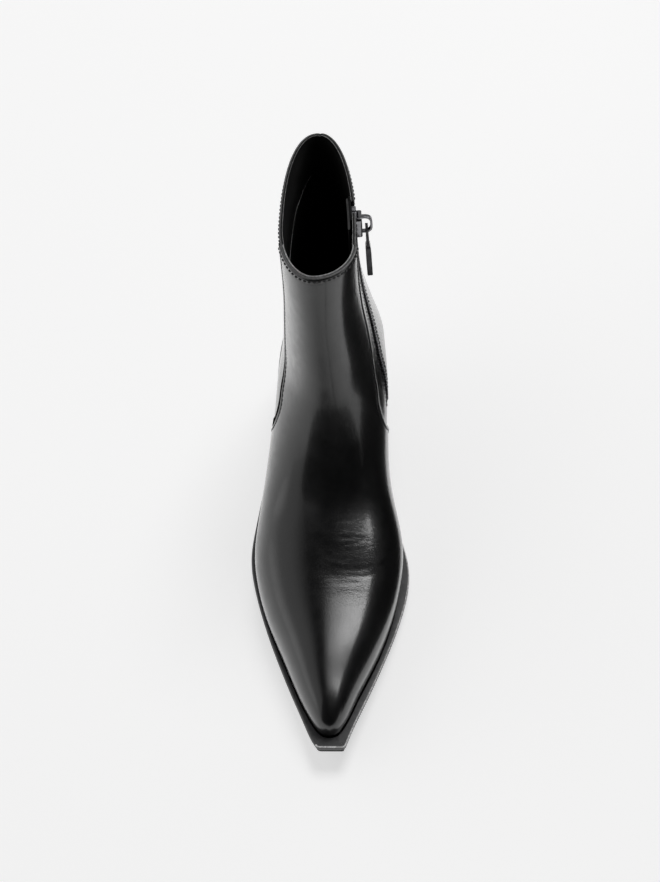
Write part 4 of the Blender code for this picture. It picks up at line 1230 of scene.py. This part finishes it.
def inset(loop, amount):
    """The closed loop moved inwards in plan."""
    ahead = np.roll(loop, -1, axis=0) - np.roll(loop, 1, axis=0)
    inward = np.stack([-ahead[:, 1], ahead[:, 0]], axis=1)
    inward /= np.linalg.norm(inward, axis=1, keepdims=True)
    inside = np.sum((loop.mean(axis=0) - loop) * inward)
    return loop + np.sign(inside) * amount * inward


def at_height(loop, height):
    return np.array([(x, d, height(d)) for x, d in loop])


def profile_loops(edge, profile, top):
    """Loops of a sole piece's edge, from its top down."""
    return [at_height(inset(edge, deep), top) - (0, 0, drop) for deep, drop in profile]


def strip_faces(start, pairs):
    """Quads across a closed loop between its two sides, with a triangle at each single end point."""
    count = 2 * pairs
    faces = [[start, start + 1, start + count - 1]]
    for i in range(1, pairs - 1):
        faces.append([start + i, start + i + 1, start + count - i - 1, start + count - i])
    faces.append([start + pairs - 1, start + pairs, start + pairs + 1])
    return faces


def slab_piece(name, loops, material, node, sharp=40):
    """A closed piece from loops stacked from its top to its bottom, capped at both ends."""
    count = len(loops[0])
    faces = strip_faces(0, count // 2) + strip_faces((len(loops) - 1) * count, count // 2)
    for i in range(len(loops) - 1):
        faces += band_faces(i * count, (i + 1) * count, count)
    return mesh_piece(name, world(np.concatenate(loops)), faces, material, node, sharp=sharp)


# Edge profiles from the top down: (how far in from the edge, how far below the top)
WELT_PROFILE = (
    (2.6, 0.0), (1.5, 0.02), (1.0, 0.06), (0.7, 0.16), (0.4, 0.42), (0.15, 0.75), (0.02, 1.1),
    (0.0, 1.6), (0.04, 2.4), (0.2, 2.9), (0.5, 3.2),
)
OUTSOLE_PROFILE = (
    (0.5, 0.0), (0.15, 0.25), (0.0, 0.7), (0.0, 1.6), (0.12, 1.75), (0.12, 1.95), (0.0, 2.1), (0.0, 3.1),
    (0.25, 3.7), (0.8, 4.05), (1.6, 4.2),
)
INSOLE_PROFILE = ((1.8, 0.0), (1.1, 0.1), (0.5, 0.4), (0.15, 0.8), (0.0, 1.4), (0.0, 3.0))


# Painted lines on the welt, a shadow cord and a highlight cord: how far inside their loop and how far
# over the welt's top they lie
WELT_SHADOW_IN, WELT_SHADOW_LIFT = -0.35, 0.1
BEVEL_IN, BEVEL_LIFT = 0.45, -0.45
WELT_LINE_RADIUS = 0.45
BEVEL_TOE_POINTS = 13


def make_welt():
    hole = inset(FEATHER_LOOP, WALL)
    loops = profile_loops(EDGE_LOOP, WELT_PROFILE, welt_top_z)
    loops += [at_height(hole, welt_bottom_z), at_height(hole, welt_top_z)]
    count = len(hole)
    faces = []
    for i in range(len(loops)):
        faces += band_faces(i * count, (i + 1) % len(loops) * count, count)
    mesh_piece("welt_band", world(np.concatenate(loops)), faces, WELT, "welt", sharp=60)


def make_welt_lines():
    """Painted shadow in the crease beside the upper, a black cord, and a painted highlight on the bevel,
    a pale cord on the inner side and round the toe.
    """
    shadow_loop = inset(FEATHER_LOOP, WELT_SHADOW_IN)
    shadow_loop = np.concatenate([shadow_loop, shadow_loop[:1]])
    bevel = inset(EDGE_LOOP, BEVEL_IN)
    inner = np.count_nonzero((SOLE_ROWS > 0) & (SOLE_ROWS < HEEL_CORNER))
    bevel = np.concatenate([bevel[-inner:], bevel[:BEVEL_TOE_POINTS]])
    for name, loop, lift, material in (
        ("welt_crease_shadow", shadow_loop, WELT_SHADOW_LIFT, PAINTED_SHADOW_LINE),
        ("welt_bevel_highlight", bevel, BEVEL_LIFT, PAINTED_HIGHLIGHT_LINE),
    ):
        path = at_height(loop, welt_top_z) + (0, 0, lift)
        cord_piece(name, path, WELT_LINE_RADIUS, material)


def make_outsole():
    edge = inset(EDGE_LOOP, OUTSOLE_INSET)
    loops = profile_loops(edge, OUTSOLE_PROFILE, lambda d: bottom_z(d) + OUTSOLE_THICK)
    slab_piece("leather_sole", loops, SOLE, "outsole", sharp=60)


def make_insole():
    edge = inset(FEATHER_LOOP, WALL + INSOLE_MARGIN)
    loops = profile_loops(edge, INSOLE_PROFILE, lambda d: feather_z(d) + INSOLE_RISE)
    slab_piece("insole_pad", loops, LINING, "insole", sharp=60)


HEEL_LAYERS, LIFT_HEIGHT = 11, 5.5
GROOVE, LIFT_GROOVE = 0.1, 0.28
GROOVE_OUTER, GROOVE_INNER = 0.011, 0.004


def heel_drops():
    """Heights of the heel's loops as shares of its fall, with a groove between its layers."""
    joints = np.linspace(0, 1 - LIFT_HEIGHT / SEAT_FRONT_Z, HEEL_LAYERS + 1)
    drops = [(0.0, 0.0)]
    for joint in joints[1:]:
        depth = LIFT_GROOVE if joint == joints[-1] else GROOVE
        drops += [(joint - GROOVE_OUTER, 0.0), (joint - GROOVE_INNER, depth)]
        drops += [(joint + GROOVE_INNER, depth), (joint + GROOVE_OUTER, 0.0)]
    return drops + [(0.975, 0.0), (0.99, 0.15), (1.0, 0.5)]


def make_heel():
    """Underslung stacked block: its back leans forward and its sides draw in, down to a flat base."""
    rows = np.arange(HEEL_FRONT_ROW, HEEL_CORNER + 0.05, 0.1)
    seat = inset(EDGE_LOOP, HEEL_INSET)
    numbers = [int(np.argmin(abs(SOLE_ROWS - row))) for row in rows]
    lateral = seat[numbers]
    medial = seat[[len(seat) - number for number in numbers[-2::-1]]]
    breast = (lateral[:1] + medial[-1:]) / 2
    top = np.concatenate([breast, lateral, medial])
    back, front = top[:, 1].min(), top[:, 1].max()
    shares = (top[:, 1] - back) / (front - back)
    base_d = HEEL_BASE_BACK + shares * (HEEL_BASE_FRONT - HEEL_BASE_BACK)
    base = np.stack([top[:, 0] * HEEL_BASE_WIDTH, base_d], axis=1)
    loops = []
    for drop, groove in heel_drops():
        lean = np.sin(drop * np.pi / 2)
        plan = inset(top + lean * (base - top), groove)
        heights = [(1 - drop) * (bottom_z(d) - GAP) for d in top[:, 1]]
        loops.append(np.column_stack([plan, heights]))
    slab_piece("stacked_heel", loops, STACK, "heel", sharp=35)


# Zip
def zip_band(rows, acrosses, front_depths, back_depths):
    """Points and faces of a closed band along the zip; depths are given across it."""
    return walled_sheet(*(
        np.array([[zip_point(row, *place) for place in zip(acrosses, depths)] for row in rows])
        for depths in (front_depths, back_depths)
    ))


def make_zip_tape():
    rows = np.linspace(TAPE_END_ROW, TAPE_TOP_ROW, 70)
    acrosses = np.array((-TAPE_HALF, -8.2, -6, -4, -2.2, -0.3, 0, 0.3, 2.2, 4, 6, 8.2, TAPE_HALF))
    depth = WALL + TAPE_GAP
    front = depth + np.array((0.15, 0, 0, 0, 0, 0.05, 0.3, 0.05, 0, 0, 0, 0, 0.15))
    points, faces = zip_band(rows, acrosses, front, np.full(len(acrosses), depth + TAPE_THICK))
    mesh_piece("zip_tape_weave", world(points), faces, TAPE, "zip_tape", sharp=50)


def make_zip_guard():
    rows = np.linspace(GUARD_END_ROW, GUARD_TOP_ROW, 60)
    acrosses = np.array((GUARD_BACK, -7.7, -6.5, -3, 1, 5, 9, 12.5, 13.7, GUARD_FRONT))
    depth = WALL + TAPE_GAP + TAPE_THICK + GAP
    ease = np.array((0.45, 0.15, 0, 0, 0, 0, 0, 0, 0.15, 0.45))
    points, faces = zip_band(rows, acrosses, depth + ease, depth + GUARD_THICK - ease)
    mesh_piece("zip_guard_flap", world(points), faces, GUARD, "zip_guard", sharp=50)


TOOTH_PITCH, TOOTH_LONG, TOOTH_FIRST = 1.7, 0.62, 0.4
TOOTH_FOOT = WALL + TAPE_GAP - GAP

# Rings of a tooth from its crown down: depth, share of its length, near and far ends across the zip
TOOTH_RINGS = (
    (TEETH_TOP, 0.6, -0.55, 2.0), (TEETH_TOP + 0.3, 1.0, -0.8, 2.35), (TOOTH_FOOT, 1.0, -0.8, 2.35),
)


def make_zip_teeth():
    """Two interlocked rows of single teeth, each with a chamfered crown."""
    rows = np.linspace(TEETH_TOP_ROW - 0.02, TEETH_END_ROW, 160)
    reach = reach_along(np.array([zip_point(row, 0, 0) for row in rows]))
    points, faces = [], []
    for i in range(int(reach[-1] / TOOTH_PITCH * 2)):
        side = 1 if i % 2 else -1
        row = np.interp(i * TOOTH_PITCH / 2 + TOOTH_FIRST, reach, rows)
        centre, _, around, out = last_frame(row, MEDIAL, zip_share(row))
        round_way = around / np.linalg.norm(around)
        ahead = np.cross(out, round_way)
        faces += ring_faces(len(TOOTH_RINGS), 4, len(points))
        for depth, long, near, far in TOOTH_RINGS:
            for across, along_way in ((near, -1), (far, -1), (far, 1), (near, 1)):
                step = ahead * along_way * long * TOOTH_LONG / 2
                points.append(centre - out * depth + round_way * side * across + step)
    mesh_piece(
        "zip_tooth_rows", world(points), faces, TEETH_METAL, "zip_teeth", sharp=30,
    )


def slider_matrix():
    """Turns slider points (across, down, out), in millimetres, into world metres."""
    centre = Vector(world(zip_point(SLIDER_ROW, 0, 0))[0])
    above = Vector(world(zip_point(SLIDER_ROW + SLIDER_REACH, 0, 0))[0])
    below = Vector(world(zip_point(SLIDER_ROW - SLIDER_REACH, 0, 0))[0])
    outward = centre - Vector(world(zip_point(SLIDER_ROW, 0, 1))[0])
    down_axis = (below - above).normalized()
    across_axis = down_axis.cross(outward).normalized()
    out_axis = across_axis.cross(down_axis)
    turn = Matrix((across_axis, down_axis, out_axis)).transposed() * MM
    return Matrix.Translation(centre) @ turn.to_4x4()


def moved(matrix, points):
    return np.array([tuple(matrix @ Vector(point)) for point in points])


# Slider body: distance down its middle and share of its width there
SLIDER_STATIONS = (
    (-7.5, 0.86), (-7.0, 0.95), (-5.6, 1.0), (-2.5, 1.0), (0.0, 0.96), (3.0, 0.92), (6.6, 0.9),
    (7.2, 0.86), (7.5, 0.8),
)
BAIL_STEPS, BAIL_SQUARENESS, BAIL_FOOT = 29, 0.6, CAP_HIGH - 0.4


def make_zip_slider(place):
    """A cap that straddles the teeth, and the arched bridge that holds the pull tab."""
    outline = (
        (-CAP_HALF, FLANGE_FOOT), (-FLANGE_INNER, FLANGE_FOOT), (-FLANGE_INNER, CAP_LOW),
        (FLANGE_INNER, CAP_LOW), (FLANGE_INNER, FLANGE_FOOT), (CAP_HALF, FLANGE_FOOT),
        (CAP_HALF, CAP_HIGH - 0.7), (CAP_HALF - 0.35, CAP_HIGH - 0.2), (CAP_HALF - 0.9, CAP_HIGH),
        (0.9 - CAP_HALF, CAP_HIGH), (0.35 - CAP_HALF, CAP_HIGH - 0.2), (-CAP_HALF, CAP_HIGH - 0.7),
    )
    points = [
        (across * factor, down, out) for down, factor in SLIDER_STATIONS for across, out in outline
    ]
    faces = ring_faces(len(SLIDER_STATIONS), len(outline))
    body = mesh_piece(
        "slider_body", moved(place, points), faces, SLIDER_METAL, "zip_slider",
        sharp=35,
    )
    soften(body, 0.18)
    points = []
    for angle in np.linspace(0, np.pi, BAIL_STEPS):
        way = np.sign(np.cos(angle)) * abs(np.cos(angle)) ** BAIL_SQUARENESS
        rise = np.sin(angle) ** BAIL_SQUARENESS
        for thick, sides in ((0.0, (-1, 1)), (BAIL_THICK, (1, -1))):
            down = -way * (BAIL_HALF_LENGTH - thick)
            out = BAIL_FOOT + rise * (BAIL_TOP - thick - BAIL_FOOT)
            points += [(side * BAIL_HALF_WIDTH, down, out) for side in sides]
    faces = ring_faces(BAIL_STEPS, 4)
    bridge = mesh_piece(
        "slider_bridge", moved(place, points), faces, SLIDER_METAL, sharp=50,
    )
    soften(bridge, 0.3, angle=50)


# Pull tab: distance below its cross bar's middle, half width and thickness there
PULL = (
    (-0.9, 2.6, 1.5), (-0.6, 2.8, 1.5), (0.9, 2.8, 1.5), (4.0, 2.7, 1.5), (8.0, 2.6, 1.5),
    (9.5, 2.5, 1.6), (11.0, 2.3, 1.7), (12.6, 2.0, 1.9), (13.6, 2.2, 2.3), (15.0, 2.5, 2.7),
    (17.0, 2.65, 2.9), (19.0, 2.7, 3.0), (28.0, 2.7, 3.0), (PULL_LENGTH - 3.2, 2.65, 3.0),
    (PULL_LENGTH - 2.2, 2.5, 2.9), (PULL_LENGTH - 1.4, 2.1, 2.7), (PULL_LENGTH - 0.9, 1.5, 2.5),
)
PULL_WINDOW_HALF = 1.6
PULL_WINDOW = (0.9, 8.0)


def make_zip_pull(place):
    lean = Matrix.Rotation(np.radians(PULL_LEAN), 4, "X")
    hinge = place @ Matrix.Translation((0, PIVOT_DOWN, PIVOT_OUT)) @ lean
    sheets = []
    for face in (1, -1):
        sheet = []
        for down, half, thick in PULL:
            inner = min(PULL_WINDOW_HALF, 0.75 * half)
            sheet.append([(across, down, face * thick / 2) for across in (-half, -inner, inner, half)])
        sheets.append(np.array(sheet))
    keep = np.ones((len(PULL) - 1, 3), bool)
    for i, ((low, *_), (high, *_)) in enumerate(zip(PULL, PULL[1:])):
        if low >= PULL_WINDOW[0] and high <= PULL_WINDOW[1]:
            keep[i, 1] = False
    points, faces = walled_sheet(*sheets, keep)
    tab = mesh_piece(
        "pull_plate", moved(hinge, points), faces, PULL_METAL, "zip_pull", "pull_tab",
        sharp=35,
    )
    soften(tab, 0.35)


# Studio
PHOTO_WIDTH, PHOTO_HEIGHT = 660, 882
FOCAL_PIXELS = 3038.9
CAMERA_PLACE = (49.5, 1074.44, 1472.45)
CAMERA_DROP = np.radians(55.59)
BOOT_MIDDLE_PIXEL = 242.5
SENSOR = 36.0


def make_camera():
    """The photograph's viewpoint, turned sideways so that the one boot stands in the middle."""
    lens = bpy.data.cameras.new("camera")
    lens.sensor_width = SENSOR
    lens.lens = SENSOR * FOCAL_PIXELS / PHOTO_HEIGHT
    lens.clip_start, lens.clip_end = 0.05, 50.0
    camera = bpy.data.objects.new("camera", lens)
    turn = np.arctan((PHOTO_WIDTH / 2 - BOOT_MIDDLE_PIXEL) / FOCAL_PIXELS)
    forward = Vector((0, np.cos(CAMERA_DROP), -np.sin(CAMERA_DROP)))
    right = Vector((1, 0, 0))
    ahead = forward * np.cos(turn) - right * np.sin(turn)
    side = right * np.cos(turn) + forward * np.sin(turn)
    up = side.cross(ahead)
    pose = Matrix((side, up, -ahead)).transposed().to_4x4()
    pose.translation = Vector(world(CAMERA_PLACE)[0])
    camera.matrix_world = pose
    bpy.context.scene.collection.objects.link(camera)
    bpy.context.scene.camera = camera


def soft_light(name, place, aim, size, brightness):
    """A rectangular softbox in metres that faces its aim; brightness is that of its surface."""
    lamp = bpy.data.lights.new(name, "AREA")
    lamp.shape = "RECTANGLE"
    lamp.size, lamp.size_y = size
    lamp.energy = brightness * np.pi * size[0] * size[1]
    holder = bpy.data.objects.new(name, lamp)
    holder.location = place
    way = Vector(aim) - Vector(place)
    holder.rotation_euler = way.to_track_quat("-Z", "Y").to_euler()
    bpy.context.scene.collection.objects.link(holder)
    return holder


def stage_plane(name, corners, material, faces=((0, 1, 2, 3),)):
    mesh = bpy.data.meshes.new(name)
    mesh.from_pydata(corners, [], faces)
    mesh.materials.append(material)
    plane = bpy.data.objects.new(name, mesh)
    bpy.context.scene.collection.objects.link(plane)
    return plane


# Dark cards that only reflections show, in metres: in the other boot's place and before the toe
SIDE_CARD = (
    (0.1, -0.135, 0.05), (0.06, -0.04, 0.07), (0.064, -0.01, 0.075), (0.07, 0.033, 0.09),
    (0.07, 0.036, 0.2), (0.075, 0.13, 0.2),
)
FRONT_CARD = ((-0.25, -0.26, 1.1), (0.22, -0.26, 1.1), (0.34, -0.12, 1.1))
FLOOR_HALF, FLOOR_GLOW = 4.0, 0.59

# Room light: the direction it comes from, the cosines over which it grows, and its brightness
SKY = (
    ((0, 0, 1), -1.0, -0.9, 0.03), ((-1, 0, 0), 0.3, 0.75, 0.6), ((-1, 0, 0), 0.9, 1.0, 0.7),
    ((0, 1, 0), 0.25, 0.95, 0.4),
)

# Overhead softbox behind the toe, in metres: its ends, and each length's brightness from left to right
SOFTBOX_FRONT, SOFTBOX_BACK, SOFTBOX_HEIGHT = 0.0, 0.9, 1.5
SOFTBOX = (
    (-0.06, 0.05, 0.6), (0.05, 0.15, 1.6), (0.15, 0.3, 3.0), (0.3, 0.5, 4.0), (0.5, 0.7, 5.4),
    (0.7, 1.0, 6.6), (1.0, 2.1, 7.4),
)

# Key light behind the heel, which throws the floor's shadows
KEY_PLACE, KEY_SIZE, KEY_BRIGHTNESS = (0.35, 1.1, 2.5), 1.15, 6.3


def make_floor():
    """A pale light table, with the cards on it."""
    look = Shader("floor_paper", (0.62, 0.62, 0.62), 0.8, specular=0.1)
    look.set("Emission Color", (1.0, 1.0, 1.0, 1.0))
    look.set("Emission Strength", FLOOR_GLOW)
    look.relief(look.noise(30.0), 0.2, 0.2)
    corners = [(x * FLOOR_HALF, y * FLOOR_HALF, 0) for x, y in ((-1, -1), (1, -1), (1, 1), (-1, 1))]
    stage_plane("floor", corners, look.material)
    card = Shader("dark_card", (0.02, 0.02, 0.02), 0.9, specular=0.1)
    for name, path in (("side_card", SIDE_CARD), ("front_card", FRONT_CARD)):
        corners = [(x, y, 0) for x, y, _ in path] + list(path)
        folds = len(path)
        faces = [(i, i + 1, folds + i + 1, folds + i) for i in range(folds - 1)]
        flag = stage_plane(name, corners, card.material, faces)
        flag.visible_camera = flag.visible_diffuse = flag.visible_shadow = False


def make_sky():
    """Dim room light: dark above the camera, brighter to the left and behind the heel."""
    look = bpy.data.worlds.new("studio")
    look.use_nodes = True
    tree = look.node_tree
    way = add_node(tree, "ShaderNodeTexCoord", "Generated")
    total = None
    for direction, low, high, amount in SKY:
        facing = add_node(tree, "ShaderNodeVectorMath", "Value", way, direction, operation="DOT_PRODUCT")
        glow = smooth_range(tree, facing, low, high, 0.0, amount)
        total = add_node(tree, "ShaderNodeMath", "Value", total, glow) if total else glow
    sky = tree.nodes["Background"]
    sky.inputs["Color"].default_value = (1.0, 1.0, 1.0, 1.0)
    tree.links.new(total, sky.inputs["Strength"])
    bpy.context.scene.world = look


def make_studio():
    make_sky()
    bpy.context.scene.view_settings.view_transform = "Standard"
    bpy.context.scene.view_settings.look = "None"
    for left, right, brightness in SOFTBOX:
        middle = (left + right) / 2, (SOFTBOX_FRONT + SOFTBOX_BACK) / 2, SOFTBOX_HEIGHT
        size = right - left, SOFTBOX_BACK - SOFTBOX_FRONT
        box = soft_light("softbox", middle, (middle[0], middle[1], 0.0), size, brightness)
        box.visible_diffuse = False
    key = soft_light("key_light", KEY_PLACE, (0, 0, 0), (KEY_SIZE, KEY_SIZE), KEY_BRIGHTNESS)
    key.visible_glossy = False


make_camera()
make_floor()
make_studio()
make_skin()
make_lining()
make_collar_edges()
make_stitches()
make_panel_shadow_lines()
make_lining_seam()
make_welt()
make_welt_lines()
make_outsole()
make_insole()
make_heel()
make_zip_tape()
make_zip_guard()
make_zip_teeth()
slider_place = slider_matrix()
make_zip_slider(slider_place)
make_zip_pull(slider_place)
